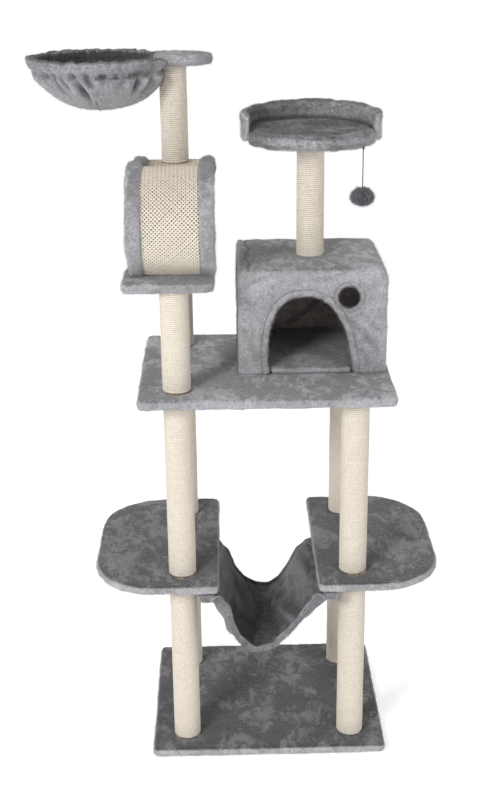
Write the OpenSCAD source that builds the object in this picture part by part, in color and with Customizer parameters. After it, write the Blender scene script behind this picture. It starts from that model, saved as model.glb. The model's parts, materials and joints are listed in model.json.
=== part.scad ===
// Tall cat tree: base, two rounded decks with a hammock slung between them, a platform with a
// house and a round bed above it, a curved scratcher, and a hanging basket at the top.
// Millimetres. +Z is up, -Y is the front, +X is to the viewer's right.
// The origin is the middle of the base's underside.

/* [Boards] */
// Thickness of a covered board, plush on both faces included
deck_t = 24; // [20:1:30]
// Thickness of the plush cover
plush_t = 3; // [2:0.5:4]
// Radius of a board's small corners
corner_r = 14; // [8:1:20]

/* [Base] */
// Width of the base, left to right
base_w = 600; // [560:5:660]
// Depth of the base, front to back
base_d = 500; // [480:5:560]

/* [Posts] */
// Outer diameter of a rope-wrapped post
post_d = 68; // [60:1:76]
// Thickness of the rope on a post
rope_t = 5; // [4:0.5:6]
// Wall of a post's cardboard tube
tube_wall = 4; // [3:0.5:5]
// Distance from the middle to the posts, left and right
post_x = 213; // [205:1:230]
// Distance from the middle to the posts, front and back
post_y = 170; // [160:1:180]
// Length of the lower posts
lower_l = 453; // [430:1:470]
// Length of the middle posts
middle_l = 462; // [440:1:480]
// Length of the short post in front of the scratcher
arch_post_l = 248; // [236:1:254]
// Length of the post that carries the basket
basket_post_l = 235; // [220:1:250]
// Length of the post that carries the bed
bed_post_l = 284; // [260:1:300]

/* [Decks] */
// Width of a rounded deck, left to right
deck_w = 309; // [290:1:320]
// Depth of the decks and of the platform, front to back
deck_d = 506; // [490:1:520]
// Radius of a deck's two outer corners
deck_r = 155; // [120:1:180]
// Distance from the middle to a deck's inner edge
deck_in = 124; // [115:1:135]
// Width of the platform
platform_w = 608; // [590:1:640]

/* [House] */
// Width of the house
house_w = 360; // [340:1:370]
// Depth of the house
house_d = 310; // [300:1:316]
// Height of the house
house_h = 264; // [250:1:280]
// Thickness of the house's wall panels
wall_t = 9; // [7:1:11]
// Thickness of the house's roof panel
roof_t = 15; // [12:1:18]
// Width of the arched door
door_w = 205; // [180:1:215]
// Height of the arched door
door_h = 196; // [180:1:205]
// How far the door's arch leans to the left, per millimetre of height
door_lean = 0.085; // [0:0.005:0.1]
// Thickness of the padded floor
house_floor_t = 16; // [12:1:20]
// Diameter of the round window
window_d = 54; // [40:1:60]

/* [Scratcher] */
// Width of the curved board
arch_w = 190; // [180:1:200]
// Outer radius of its bend
arch_r = 128; // [124:1:130]
// Slope of its upper side, in degrees
arch_slope = 10.6; // [9:0.1:12]
// Thickness of the sisal mat
mat_t = 5; // [4:0.5:6]
// Thickness of the curved board
arch_board_t = 9; // [7:1:11]
// How far the plush edging reaches in from each long edge
trim_w = 30; // [24:1:32]

/* [Basket] */
// Radius of the wire ring
ring_r = 158; // [150:1:162]
// Diameter of the ring's wire
wire_d = 6; // [5:0.5:7]
// Depth of the bag under the ring
bag_h = 118; // [100:1:130]

/* [Bed] */
// Outer radius of the bed
bed_r = 166; // [155:1:172]
// Height of the bed, board and padded wall together
bed_h = 67; // [55:1:75]
// Thickness of the padded wall
bed_wall_t = 16; // [12:1:20]
// Angle that the open front takes, in degrees
bed_open = 138; // [100:1:150]

/* [Hammock] */
// Width of the hammock, front to back
hammock_w = 300; // [260:1:310]
// How far the hammock sags below the decks
hammock_sag = 158; // [140:1:170]
// Thickness of the hammock's plush
hammock_t = 5; // [4:0.5:6]

/* [Toy] */
// Radius of the pompom across
pompom_r = 30; // [24:1:32]
// Half of the pompom's height
pompom_h = 23.5; // [20:0.5:26]
// Diameter of the elastic string
string_d = 2.4; // [2:0.1:3]
// Free length of the string, knot to pompom
string_l = 86; // [70:1:100]

/* [Hidden] */

$fn = 72;
eps = 1;                       // how far a cutting tool runs past a face
gap = 0.2;                     // room between a covered piece and its cover

plush = [0.62, 0.62, 0.64];
sisal = [0.87, 0.81, 0.71];
weave = [0.80, 0.74, 0.66];
chipboard = [0.70, 0.58, 0.42];
cardboard = [0.66, 0.54, 0.38];
plywood = [0.78, 0.66, 0.48];
zinc = [0.75, 0.76, 0.78];
black = [0.10, 0.10, 0.11];

// Levels, from the floor up
deck_top = deck_t + lower_l + deck_t;
deck_low = deck_top - deck_t;
platform_top = deck_top + middle_l + deck_t;
arch_plate_low = platform_top + arch_post_l;
arch_foot = arch_plate_low + deck_t;
arch_t = mat_t + arch_board_t;
arch_flat = platform_top + middle_l + arch_t + 2;
basket_plate_low = arch_flat + basket_post_l;
house_top = platform_top + house_h;
bed_low = house_top + bed_post_l;

// Posts: [x, y, bottom, length]
lower_posts = [
    [-post_x, -post_y, deck_t, lower_l], [post_x, -post_y, deck_t, lower_l],
    [-post_x, post_y, deck_t, lower_l], [post_x, post_y, deck_t, lower_l]];
middle_posts = [
    [-post_x, -post_y, deck_top, middle_l], [post_x, -post_y, deck_top, middle_l],
    [-post_x, post_y, deck_top, middle_l], [post_x, post_y, deck_top, middle_l]];
arch_front_post = [-post_x, -post_y, platform_top, arch_post_l];
arch_rear_post = [-post_x, post_y, platform_top, arch_flat - arch_t - platform_top];
basket_post = [-post_x, post_y, arch_flat, basket_post_l];

// House and bed
house_x0 = -65;
house_y0 = -80;
house_cx = house_x0 + house_w / 2;
house_cy = house_y0 + house_d / 2;
house_in = plush_t + gap;
door_x = 112;
window_x = 202;
window_z = platform_top + 193;
bed_post = [house_cx + 1, house_cy - 10, house_top, bed_post_l];
all_posts = concat(lower_posts, middle_posts,
    [arch_front_post, arch_rear_post, basket_post, bed_post]);

// Fasteners
bolt_d = 8;
hole_d = 9;
plug_h = 25;
tube_d = post_d - 2 * rope_t - 2 * gap;
plug_d = tube_d - 2 * tube_wall - 2 * gap;
head_d = 16;
head_h = 5;
washer_d = 22;
washer_h = 1.6;
screw_d = 4;

// A rounded rectangle about its middle: exact arcs, no offset()
module round_rect(w, d, r) {
    square([w - 2 * r, d], center = true);
    square([w, d - 2 * r], center = true);
    for (x = [-1, 1], y = [-1, 1]) translate([x * (w / 2 - r), y * (d / 2 - r)]) circle(r);
}

// Outlines: inset is how far the outline is drawn in all round
module base_outline(inset) round_rect(base_w - 2 * inset, base_d - 2 * inset, corner_r - inset);

module platform_outline(inset)
    round_rect(platform_w - 2 * inset, deck_d - 2 * inset, corner_r - inset);

// side is -1 for the left deck and 1 for the right one
module deck_outline(side, inset) {
    small = corner_r - inset;
    big = deck_r - inset;
    x_in = deck_in + inset;
    x_out = deck_in + deck_w - inset;
    half = deck_d / 2 - inset;
    mirror([side < 0 ? 1 : 0, 0]) {
        translate([x_in + small, -half]) square([x_out - x_in - small - big, 2 * half]);
        translate([x_in, small - half]) square([x_out - x_in - big, 2 * (half - small)]);
        translate([x_in, big - half]) square([x_out - x_in, 2 * (half - big)]);
        for (y = [-1, 1]) {
            translate([x_in + small, y * (half - small)]) circle(small);
            translate([x_out - big, y * (half - big)]) circle(big, $fn = 144);
        }
    }
}

arch_plate_y0 = -220;
arch_plate_y1 = -70;
arch_plate_x0 = -330;
arch_plate_x1 = -121;
module arch_plate_outline(inset)
    translate([(arch_plate_x0 + arch_plate_x1) / 2, (arch_plate_y0 + arch_plate_y1) / 2])
        round_rect(arch_plate_x1 - arch_plate_x0 - 2 * inset,
            arch_plate_y1 - arch_plate_y0 - 2 * inset, corner_r - inset);

// The basket's plate: a straight left end and a round right end
basket_plate_r = 70;
basket_plate_x0 = -258;
basket_plate_cx = -187;
basket_plate_cy = 172;
module basket_plate_outline(inset) {
    r = basket_plate_r - inset;
    translate([basket_plate_cx, basket_plate_cy]) circle(r);
    translate([basket_plate_x0 + inset, basket_plate_cy - r])
        square([basket_plate_cx - basket_plate_x0 - inset, 2 * r]);
}

// Upright holes at a list of [x, y, ...] places
module holes(places, z, h, d = hole_d)
    for (p = places) translate([p[0], p[1], z - eps]) cylinder(d = d, h = h + 2 * eps, $fn = 32);

// A plush cover with the board's room inside it: children are the outer and the inner outline
// Screws are bored screw_h deep from below
module cover(z, places, screws = [], screw_h = deck_t) difference() {
    translate([0, 0, z]) linear_extrude(deck_t) children(0);
    translate([0, 0, z + plush_t]) linear_extrude(deck_t - 2 * plush_t) children(1);
    holes(places, z, deck_t);
    holes(screws, z, screw_h, screw_d + 0.6);
}

// The board inside a cover
module board(z, places, screws = [], screw_h = deck_t) difference() {
    translate([0, 0, z + plush_t + gap])
        linear_extrude(deck_t - 2 * plush_t - 2 * gap) children();
    holes(places, z, deck_t);
    holes(screws, z, screw_h, screw_d + 0.6);
}

board_in = plush_t + gap;

module base_board() color(chipboard) difference() {
    board(0, lower_posts) base_outline(board_in);
    holes(lower_posts, plush_t, head_h + washer_h - eps, washer_d + 2);
}

module base_cover() color(plush) difference() {
    cover(0, lower_posts) {
        base_outline(0);
        base_outline(plush_t);
    }
    holes(lower_posts, 0, plush_t, washer_d + 2);
}

function on_side(posts, side) = [for (p = posts) if (p[0] * side > 0) p];
batten_bore = deck_t - 6;

module deck_board(side) color(chipboard)
    board(deck_low, on_side(lower_posts, side), batten_screw_places(side), batten_bore)
        deck_outline(side, board_in);

module deck_cover(side) color(plush)
    cover(deck_low, on_side(lower_posts, side), batten_screw_places(side), batten_bore) {
        deck_outline(side, 0);
        deck_outline(side, plush_t);
    }

module platform_board() color(chipboard)
    board(platform_top - deck_t, middle_posts, house_screw_places)
        platform_outline(board_in);

// The two right posts end under the platform, so their studs pass its lower skin only
module platform_cover() color(plush) difference() {
    cover(platform_top - deck_t, on_side(middle_posts, -1), house_screw_places) {
        platform_outline(0);
        platform_outline(plush_t);
    }
    holes(on_side(middle_posts, 1), platform_top - deck_t - eps, plush_t);
}

// One post's rope wrap, its tube and its two end plugs
module wrap(p) color(sisal) translate([p[0], p[1], p[2]]) difference() {
    cylinder(d = post_d, h = p[3]);
    translate([0, 0, -eps]) cylinder(d = post_d - 2 * rope_t, h = p[3] + 2 * eps);
}

module tube(p) color(cardboard) translate([p[0], p[1], p[2]]) difference() {
    cylinder(d = tube_d, h = p[3]);
    translate([0, 0, -eps]) cylinder(d = tube_d - 2 * tube_wall, h = p[3] + 2 * eps);
}

module plug(p, z) translate([p[0], p[1], z]) difference() {
    cylinder(d = plug_d, h = plug_h);
    translate([0, 0, -eps]) cylinder(d = hole_d, h = plug_h + 2 * eps, $fn = 32);
}

module post_plugs() color(plywood) for (p = all_posts) {
    plug(p, p[2]);
    plug(p, p[2] + p[3] - plug_h);
}

// A threaded stud that stands from z0 to z1
module stud(p, z0, z1)
    translate([p[0], p[1], z0]) cylinder(d = bolt_d, h = z1 - z0, $fn = 32);

stud_in = plug_h - 2;

// Studs that run right through a board, from one post into the next
module deck_studs() color(zinc) {
    for (p = middle_posts) stud(p, deck_low - stud_in, deck_top + stud_in);
    for (p = [arch_front_post, arch_rear_post])
        stud(p, platform_top - deck_t - stud_in, platform_top + stud_in);
    stud(basket_post, arch_flat - arch_t - stud_in, arch_flat + stud_in);
}

// Studs that end inside a board
module end_studs() color(zinc) {
    blind = deck_t - plush_t - 1;
    low = platform_top - deck_t;
    for (p = on_side(middle_posts, 1)) stud(p, low - stud_in, low + blind);
    stud(arch_front_post, arch_plate_low - stud_in, arch_plate_low + blind);
    stud(basket_post, basket_plate_low - stud_in, basket_plate_low + blind);
    stud(bed_post, bed_low - stud_in, bed_low + blind);
}

// A bolt with its head down, its head's underside at z
module bolt(p, z, l) translate([p[0], p[1], 0]) {
    translate([0, 0, z]) cylinder(d = bolt_d, h = l, $fn = 32);
    translate([0, 0, z - head_h]) cylinder(d = head_d, h = head_h, $fn = 32);
}

washer_z = plush_t + head_h;
module base_bolts() color(zinc)
    for (p = lower_posts) bolt(p, washer_z, deck_t + stud_in - washer_z);

module base_washers() color(zinc) for (p = lower_posts)
    translate([p[0], p[1], washer_z]) difference() {
        cylinder(d = washer_d, h = washer_h);
        translate([0, 0, -eps]) cylinder(d = hole_d, h = washer_h + 2 * eps, $fn = 32);
    }

// ---- Curved scratcher -------------------------------------------------------------------
arch_x0 = -311;
arch_cy = -78;
arch_cz = arch_flat - 95;
arch_end = 205;

foot_lean = 45;                // the straight foot's lean from upright, in degrees

// A point of the round bend at depth d under the mat's outer face
function bend(d, a) =
    [arch_cy + (arch_r - d) * cos(a), arch_cz + (arch_r - d) * sin(a)];

// The board's side view at depth d: up the leaning foot, round the bend, down the slope and
// along the flat end
function arch_curve(d) = let (
    a0 = 180 + foot_lean,
    a1 = 90 - arch_slope,
    n = 36,
    low = bend(d, a0),
    high = bend(d, a1)
) concat(
    [[low[0] + (low[1] - arch_foot) * tan(foot_lean), arch_foot]],
    [for (i = [0:n]) bend(d, a0 + (a1 - a0) * i / n)],
    [[high[0] + (high[1] - arch_flat + d) / tan(arch_slope), arch_flat - d],
     [arch_end, arch_flat - d]]);

function reversed(list) = [for (i = [len(list) - 1:-1:0]) list[i]];

// The strip between depths d0 and d1, from x0 to x1
module arch_strip(d0, d1, x0, x1)
    translate([x0, 0, 0]) rotate([90, 0, 90]) linear_extrude(x1 - x0)
        polygon(concat(arch_curve(d0), reversed(arch_curve(d1))));

module arch_board() color(plywood) difference() {
    arch_strip(mat_t + gap, arch_t, arch_x0, arch_x0 + arch_w);
    holes([basket_post], arch_flat - arch_t, arch_t);
}

module arch_mat() color(weave) difference() {
    arch_strip(0, mat_t, arch_x0 + trim_w, arch_x0 + arch_w - trim_w);
    holes([basket_post], arch_flat - arch_t, arch_t);
}

// Padded edging wrapped round one long edge: a channel that is open towards the middle
trim_out = 7;
trim_under = 5;
module arch_trim(edge, inward) {
    x0 = min(edge - inward * 6, edge + inward * trim_w);
    x1 = max(edge - inward * 6, edge + inward * trim_w);
    room0 = min(edge - inward * gap, edge + inward * (trim_w + eps));
    room1 = max(edge - inward * gap, edge + inward * (trim_w + eps));
    color(plush) difference() {
        arch_strip(-trim_out, arch_t + trim_under, x0, x1);
        arch_strip(mat_t, arch_t + gap, room0, room1);
    }
}

module arch_left_trim() arch_trim(arch_x0, 1);
module arch_right_trim() arch_trim(arch_x0 + arch_w, -1);

module arch_plate_board() color(chipboard)
    board(arch_plate_low, [arch_front_post]) arch_plate_outline(board_in);

module arch_plate_cover() color(plush) difference() {
    cover(arch_plate_low, []) {
        arch_plate_outline(0);
        arch_plate_outline(plush_t);
    }
    holes([arch_front_post], arch_plate_low - eps, plush_t);
}

// Two steel brackets that hold the curved board's foot to its plate
bracket_t = 2;
bracket_w = 25;
bracket_rise = 20;
module arch_brackets() color(zinc) for (x = [-272, -185]) {
    y = arch_curve(arch_t + gap)[0][0];
    translate([x, 0, 0]) rotate([90, 0, 90]) linear_extrude(bracket_w) polygon([
        [y, arch_foot], [arch_plate_y1 - 5, arch_foot],
        [arch_plate_y1 - 5, arch_foot + bracket_t], [y + bracket_t, arch_foot + bracket_t],
        [y + 1.4 * bracket_t - bracket_rise, arch_foot + bracket_rise],
        [y - bracket_rise, arch_foot + bracket_rise]]);
}

// ---- Basket -----------------------------------------------------------------------------
basket_cx = -394;
basket_cy = basket_plate_cy;
ring_z = basket_plate_low + deck_t / 2;
bag_t = 5;
rim_h = 9;                     // height of the padded rim above the wire's middle
hem_h = 14;                    // how far the rim's hem hangs inside the bag
basket_edge = basket_plate_x0 - gap;

// The round wire, which runs through the end of the plate
module wire(d) translate([basket_cx, basket_cy, ring_z]) rotate_extrude($fn = 96)
    translate([ring_r, 0]) circle(d / 2, $fn = 24);

module basket_ring() color(zinc) wire(wire_d);

// Half of the bag's side view at depth d inside its outer face, as a soft bowl
bag_r = ring_r + wire_d / 2 + bag_t + 2 * gap;
function bag_side(d) = concat([[0, -bag_h + d]],
    [for (i = [1:14]) let (a = 90 * i / 14)
        [(bag_r - d) * pow(sin(a), 0.8), -(bag_h - d) * pow(cos(a), 0.9)]]);

// The bag's cloth all the way round, folded inwards over the wire
module bag_round() {
    hem_r = ring_r - wire_d / 2 - 2 - bag_t;
    rotate_extrude($fn = 96) polygon(concat(bag_side(0),
        [[bag_r, rim_h - 3], [bag_r - 3, rim_h], [hem_r + 3, rim_h], [hem_r, rim_h - 3],
         [hem_r, -hem_h], [hem_r + bag_t, -hem_h], [hem_r + bag_t, rim_h - bag_t],
         [bag_r - bag_t, rim_h - bag_t]],
        reversed(bag_side(bag_t))));
}

// The side that hangs from the plate is flat and closes the bag
module basket_bag() color(plush) translate([basket_cx, basket_cy, ring_z]) {
    edge = basket_edge - basket_cx;
    intersection() {
        bag_round();
        translate([edge - 400, -200, -150]) cube([400, 400, 200]);
    }
    intersection() {
        rotate_extrude($fn = 96) polygon(concat(bag_side(bag_t / 2), [[0, 0]]));
        translate([edge - bag_t, -200, -150]) cube([bag_t, 400, 150 - wire_d / 2 - gap]);
    }
}

module basket_plate_board() color(chipboard) difference() {
    board(basket_plate_low, []) basket_plate_outline(board_in);
    holes([basket_post], basket_plate_low, deck_t - plush_t);
    wire(wire_d + 2 * gap);
}

module basket_plate_cover() color(plush) difference() {
    cover(basket_plate_low, []) {
        basket_plate_outline(0);
        basket_plate_outline(plush_t);
    }
    holes([basket_post], basket_plate_low - eps, plush_t);
    wire(wire_d + 2 * gap);
}

// ---- House ------------------------------------------------------------------------------
wall_z = house_top - house_in - roof_t;      // top of the walls
panel_x0 = house_x0 + house_in;
panel_x1 = house_x0 + house_w - house_in;
panel_y0 = house_y0 + house_in;
panel_y1 = house_y0 + house_d - house_in;

screw_mid = wall_t / 2;
house_screw_places = [
    [panel_x0 + 40, panel_y0 + screw_mid], [panel_x1 - 40, panel_y0 + screw_mid],
    [panel_x0 + 80, panel_y1 - screw_mid], [panel_x1 - 80, panel_y1 - screw_mid],
    [panel_x0 + screw_mid, house_cy], [panel_x1 - screw_mid, house_cy]];

module screw_rooms() holes(house_screw_places, platform_top, 26, screw_d + 0.6);

// The door's outline from the platform up: straight at the foot and round at the top
door_bend = 2.4;
module door_outline() {
    n = 48;
    polygon([for (i = [0:n])
        let (a = 180 * i / n, c = cos(a), h = pow(sin(a), 2 / door_bend) * door_h)
        [sign(c) * pow(abs(c), 2 / door_bend) * door_w / 2 - door_lean * h, h]]);
}

module door_and_window(y, t) {
    translate([door_x, y + t + eps, platform_top - 0.01]) rotate([90, 0, 0])
        linear_extrude(t + 2 * eps) door_outline();
    translate([window_x, y + t + eps, window_z]) rotate([90, 0, 0])
        cylinder(d = window_d, h = t + 2 * eps, $fn = 64);
}

module panel(x0, y0, w, d) difference() {
    translate([x0, y0, platform_top]) cube([w, d, wall_z - platform_top]);
    screw_rooms();
}

module house_front() color(plywood) difference() {
    panel(panel_x0, panel_y0, panel_x1 - panel_x0, wall_t);
    door_and_window(panel_y0, wall_t);
}

module house_back() color(plywood)
    panel(panel_x0, panel_y1 - wall_t, panel_x1 - panel_x0, wall_t);

module side_panel(x) color(plywood)
    panel(x, panel_y0 + wall_t, wall_t, panel_y1 - panel_y0 - 2 * wall_t);

module house_left() side_panel(panel_x0);
module house_right() side_panel(panel_x1 - wall_t);

module house_roof() color(plywood) difference() {
    translate([panel_x0, panel_y0, wall_z])
        cube([panel_x1 - panel_x0, panel_y1 - panel_y0, roof_t]);
    holes([bed_post], wall_z, roof_t);
}

// A padded floor between the walls, with a tongue that fills the foot of the doorway
module house_floor() color(plush) {
    room = wall_t + gap;
    jamb = 6;
    translate([panel_x0 + room, panel_y0 + room, platform_top]) cube([
        panel_x1 - panel_x0 - 2 * room, panel_y1 - panel_y0 - 2 * room, house_floor_t]);
    translate([door_x - door_w / 2 + jamb, house_y0 + 1, platform_top])
        cube([door_w - 2 * jamb, house_in + wall_t, house_floor_t]);
}

house_corner = 12;
module house_cover() color(plush) difference() {
    translate([house_cx, house_cy, platform_top]) linear_extrude(house_h)
        round_rect(house_w, house_d, house_corner);
    translate([panel_x0 - gap, panel_y0 - gap, platform_top - eps])
        cube([panel_x1 - panel_x0 + 2 * gap, panel_y1 - panel_y0 + 2 * gap,
            house_h - plush_t + eps]);
    door_and_window(house_y0, plush_t + gap);
    holes([bed_post], house_top - plush_t, plush_t);
}

// Screws from under the platform into the walls' lower edges
module house_screws() color(zinc) for (p = house_screw_places)
    translate([p[0], p[1], platform_top - deck_t - 2.5]) {
        cylinder(d = screw_d, h = deck_t + 26, $fn = 24);
        cylinder(d = 8, h = 2.4, $fn = 24);
    }

// The bolt that holds the bed's post from inside the house
module house_roof_bolt() color(zinc)
    bolt(bed_post, wall_z - 0.1, roof_t + house_in + stud_in);

// ---- Round bed --------------------------------------------------------------------------
bed_in = bed_r - bed_wall_t;
wall_turn = 360 - bed_open;
bed_start = bed_open / 2 - 90;

module bed_board() color(chipboard) difference() {
    translate([bed_post[0], bed_post[1], bed_low + board_in])
        cylinder(r = bed_in - board_in, h = deck_t - 2 * board_in, $fn = 120);
    holes([bed_post], bed_low, deck_t - plush_t - eps);
}

// The cover's front edge is a padded roll that fills the opening of the wall
module bed_cover() color(plush) difference() {
    translate([bed_post[0], bed_post[1], bed_low]) union() {
        cylinder(r = bed_in - gap, h = deck_t, $fn = 120);
        rotate([0, 0, -90 - bed_open / 2 + 1]) rotate_extrude(angle = bed_open - 2, $fn = 120)
            translate([bed_in - 8, 0]) square([bed_wall_t + 5, deck_t]);
    }
    translate([bed_post[0], bed_post[1], bed_low + plush_t])
        cylinder(r = bed_in - plush_t, h = deck_t - 2 * plush_t, $fn = 120);
    holes([bed_post], bed_low - eps, plush_t);
}

module bed_wall() color(plush) translate([bed_post[0], bed_post[1], bed_low])
    rotate([0, 0, bed_start]) rotate_extrude(angle = wall_turn, $fn = 120)
        translate([bed_in + bed_wall_t / 2, bed_h / 2])
            round_rect(bed_wall_t - 0.4, bed_h, bed_wall_t / 2 - 0.3);

// ---- Hammock ----------------------------------------------------------------------------
hammock_y0 = -deck_d / 2 + 2;
batten_w = 26;
batten_h = 12;
batten_in = 16;                // from a deck's inner edge to its batten
fold_x = deck_in + batten_in + batten_w + 4;
fall_x = deck_in + 4;

// The lower face of the fabric between the decks: a hanging line, flat under each deck
function sag_z(x) = -hammock_sag * (1 - pow(abs(x) / fall_x, 2.2));
function hammock_line(z) = concat([[-fold_x, z]],
    [for (i = [-20:20]) let (x = fall_x * i / 20) [x, z + sag_z(x)]], [[fold_x, z]]);

module hammock_fabric() color(plush) difference() {
    translate([0, hammock_y0 + hammock_w, 0]) rotate([90, 0, 0]) linear_extrude(hammock_w)
        polygon(concat(hammock_line(deck_low - hammock_t),
            reversed([for (p = hammock_line(deck_low)) p])));
    for (side = [-1, 1])
        holes(batten_screw_places(side), deck_low - hammock_t, hammock_t, screw_d + 0.6);
}

function batten_screw_places(side) = [for (i = [0:2])
    [side * (deck_in + batten_in + batten_w / 2), hammock_y0 + hammock_w * (0.15 + 0.35 * i)]];

module hammock_battens() color(plywood) for (side = [-1, 1]) difference() {
    translate([side > 0 ? deck_in + batten_in : -deck_in - batten_in - batten_w,
        hammock_y0 + 5, deck_low - hammock_t - batten_h])
        cube([batten_w, hammock_w - 10, batten_h]);
    holes(batten_screw_places(side), deck_low - hammock_t - batten_h, batten_h, screw_d + 0.6);
}

module batten_screws() color(zinc) for (side = [-1, 1], p = batten_screw_places(side))
    translate([p[0], p[1], deck_low - hammock_t - batten_h - 2.5]) {
        cylinder(d = screw_d, h = batten_h + hammock_t + 17, $fn = 24);
        cylinder(d = 8, h = 2.4, $fn = 24);
    }

// ---- Hanging toy ------------------------------------------------------------------------
toy_x = 231;
toy_y = -44;
tab_h = 4;
knot_r = 3;
knot_z = bed_low - tab_h - knot_r - 0.5;
string_top = knot_z - knot_r - 0.3;
pompom_z = string_top - string_l - pompom_h;
string_end = string_top - string_l - 4;

module toy_tab() color(black) translate([toy_x - 5, toy_y - 2, bed_low - tab_h])
    cube([10, 4, tab_h]);

module toy_knot() color(black) translate([toy_x, toy_y, knot_z]) sphere(knot_r, $fn = 32);

// The string's route, from the knot down into the pompom
toy_route = [[toy_x, toy_y, string_top], [toy_x, toy_y, string_end]];

// A plain tube swept along a route of upright stretches
function ring(c, r, n) = [for (i = [0:n - 1]) c + [r * cos(360 * i / n), r * sin(360 * i / n), 0]];

module sweep(route, d, spacing) {
    n = 8;
    total = norm(route[1] - route[0]);
    steps = ceil(total / spacing);
    points = [for (k = [0:steps])
        each ring(route[0] + (route[1] - route[0]) * k / steps, d / 2, n)];
    last = steps * n;
    faces = concat(
        [[for (i = [0:n - 1]) i]],
        [[for (i = [n - 1:-1:0]) last + i]],
        [for (k = [0:steps - 1], i = [0:n - 1]) let (j = (i + 1) % n)
            [k * n + i, (k + 1) * n + i, (k + 1) * n + j, k * n + j]]);
    polyhedron(points, faces);
}

module toy_string() color(black) sweep(toy_route, string_d, 3 * string_d);

module pompom() color([0.30, 0.30, 0.33]) translate([toy_x, toy_y, pompom_z])
    rotate_extrude($fn = 48) polygon([for (i = [0:16]) let (a = -90 + 180 * i / 16)
        [max(0, pompom_r * cos(a)), pompom_h * sin(a)]]);

// ---- Every node -------------------------------------------------------------------------
base_board();
base_cover();
deck_board(-1);  // left_deck_board
deck_cover(-1);  // left_deck_cover
deck_board(1);  // right_deck_board
deck_cover(1);  // right_deck_cover
platform_board();
platform_cover();
wrap(lower_posts[0]);  // lower_front_left_sisal
wrap(lower_posts[1]);  // lower_front_right_sisal
wrap(lower_posts[2]);  // lower_rear_left_sisal
wrap(lower_posts[3]);  // lower_rear_right_sisal
wrap(middle_posts[0]);  // middle_front_left_sisal
wrap(middle_posts[1]);  // middle_front_right_sisal
wrap(middle_posts[2]);  // middle_rear_left_sisal
wrap(middle_posts[3]);  // middle_rear_right_sisal
wrap(arch_front_post);  // arch_front_sisal
wrap(arch_rear_post);  // arch_rear_sisal
wrap(basket_post);  // basket_post_sisal
wrap(bed_post);  // bed_post_sisal
for (p = lower_posts) tube(p);  // lower_tubes
for (p = concat(middle_posts, [arch_rear_post])) tube(p);  // middle_tubes
tube(arch_front_post);  // arch_front_tube
tube(basket_post);  // basket_post_tube
tube(bed_post);  // bed_post_tube
post_plugs();
deck_studs();
end_studs();
base_bolts();
base_washers();
arch_plate_board();
arch_plate_cover();
arch_board();
arch_mat();
arch_left_trim();
arch_right_trim();
arch_brackets();
basket_plate_board();
basket_plate_cover();
basket_ring();
basket_bag();
house_front();
house_back();
house_left();
house_right();
house_roof();
house_floor();
house_cover();
house_screws();
house_roof_bolt();
bed_board();
bed_cover();
bed_wall();
hammock_fabric();
hammock_battens();
batten_screws();
toy_tab();
toy_knot();
toy_string();
pompom();
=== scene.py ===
"""Looks of the cat tree: plush covers, wound rope, woven sisal, basket, hammock, bed and toy."""
import json
import math

import bmesh
import bpy
import numpy as np
from mathutils import Matrix, Vector


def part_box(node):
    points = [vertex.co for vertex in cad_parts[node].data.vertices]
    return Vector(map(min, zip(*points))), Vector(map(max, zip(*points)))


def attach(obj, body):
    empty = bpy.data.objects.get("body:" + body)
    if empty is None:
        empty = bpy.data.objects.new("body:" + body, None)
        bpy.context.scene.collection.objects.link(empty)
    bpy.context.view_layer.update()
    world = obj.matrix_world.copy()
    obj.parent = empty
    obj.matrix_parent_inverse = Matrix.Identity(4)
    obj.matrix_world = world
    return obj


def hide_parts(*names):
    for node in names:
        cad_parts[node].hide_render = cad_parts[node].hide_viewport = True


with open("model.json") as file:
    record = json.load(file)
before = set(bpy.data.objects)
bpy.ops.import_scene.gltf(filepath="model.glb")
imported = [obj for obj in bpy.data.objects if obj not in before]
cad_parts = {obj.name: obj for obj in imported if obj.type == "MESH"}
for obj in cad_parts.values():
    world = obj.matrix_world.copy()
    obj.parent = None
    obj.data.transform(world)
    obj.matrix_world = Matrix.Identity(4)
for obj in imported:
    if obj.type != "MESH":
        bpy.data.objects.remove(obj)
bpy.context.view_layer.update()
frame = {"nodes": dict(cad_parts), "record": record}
MM = 0.001
TREE = "tree"
scene = bpy.context.scene


# ---- Camera and light --------------------------------------------------------------------
def make_camera():
    """The camera stands in front, a little to the left, and looks down."""
    eye = (-0.0901, -3.0025, 2.0455)
    yaw, pitch, roll = 0.019, 0.367, -0.010
    ahead = Vector((math.sin(yaw) * math.cos(pitch), math.cos(yaw) * math.cos(pitch),
                    -math.sin(pitch)))
    level = Vector((math.cos(yaw), -math.sin(yaw), 0))
    upright = level.cross(ahead)
    right = math.cos(roll) * level + math.sin(roll) * upright
    up = -math.sin(roll) * level + math.cos(roll) * upright
    data = bpy.data.cameras.new("camera")
    data.sensor_width = 36
    data.lens = 57.4
    camera = bpy.data.objects.new("camera", data)
    camera.matrix_world = Matrix.Translation(eye) @ Matrix(
        (right, up, -ahead)).transposed().to_4x4()
    scene.collection.objects.link(camera)
    scene.camera = camera


def area_light(name, place, target, size, power):
    data = bpy.data.lights.new(name, "AREA")
    data.shape = "DISK"
    data.size = size
    data.energy = power
    light = bpy.data.objects.new(name, data)
    light.location = place
    light.rotation_euler = (Vector(target) - Vector(place)).to_track_quat("-Z", "Y").to_euler()
    scene.collection.objects.link(light)


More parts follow.
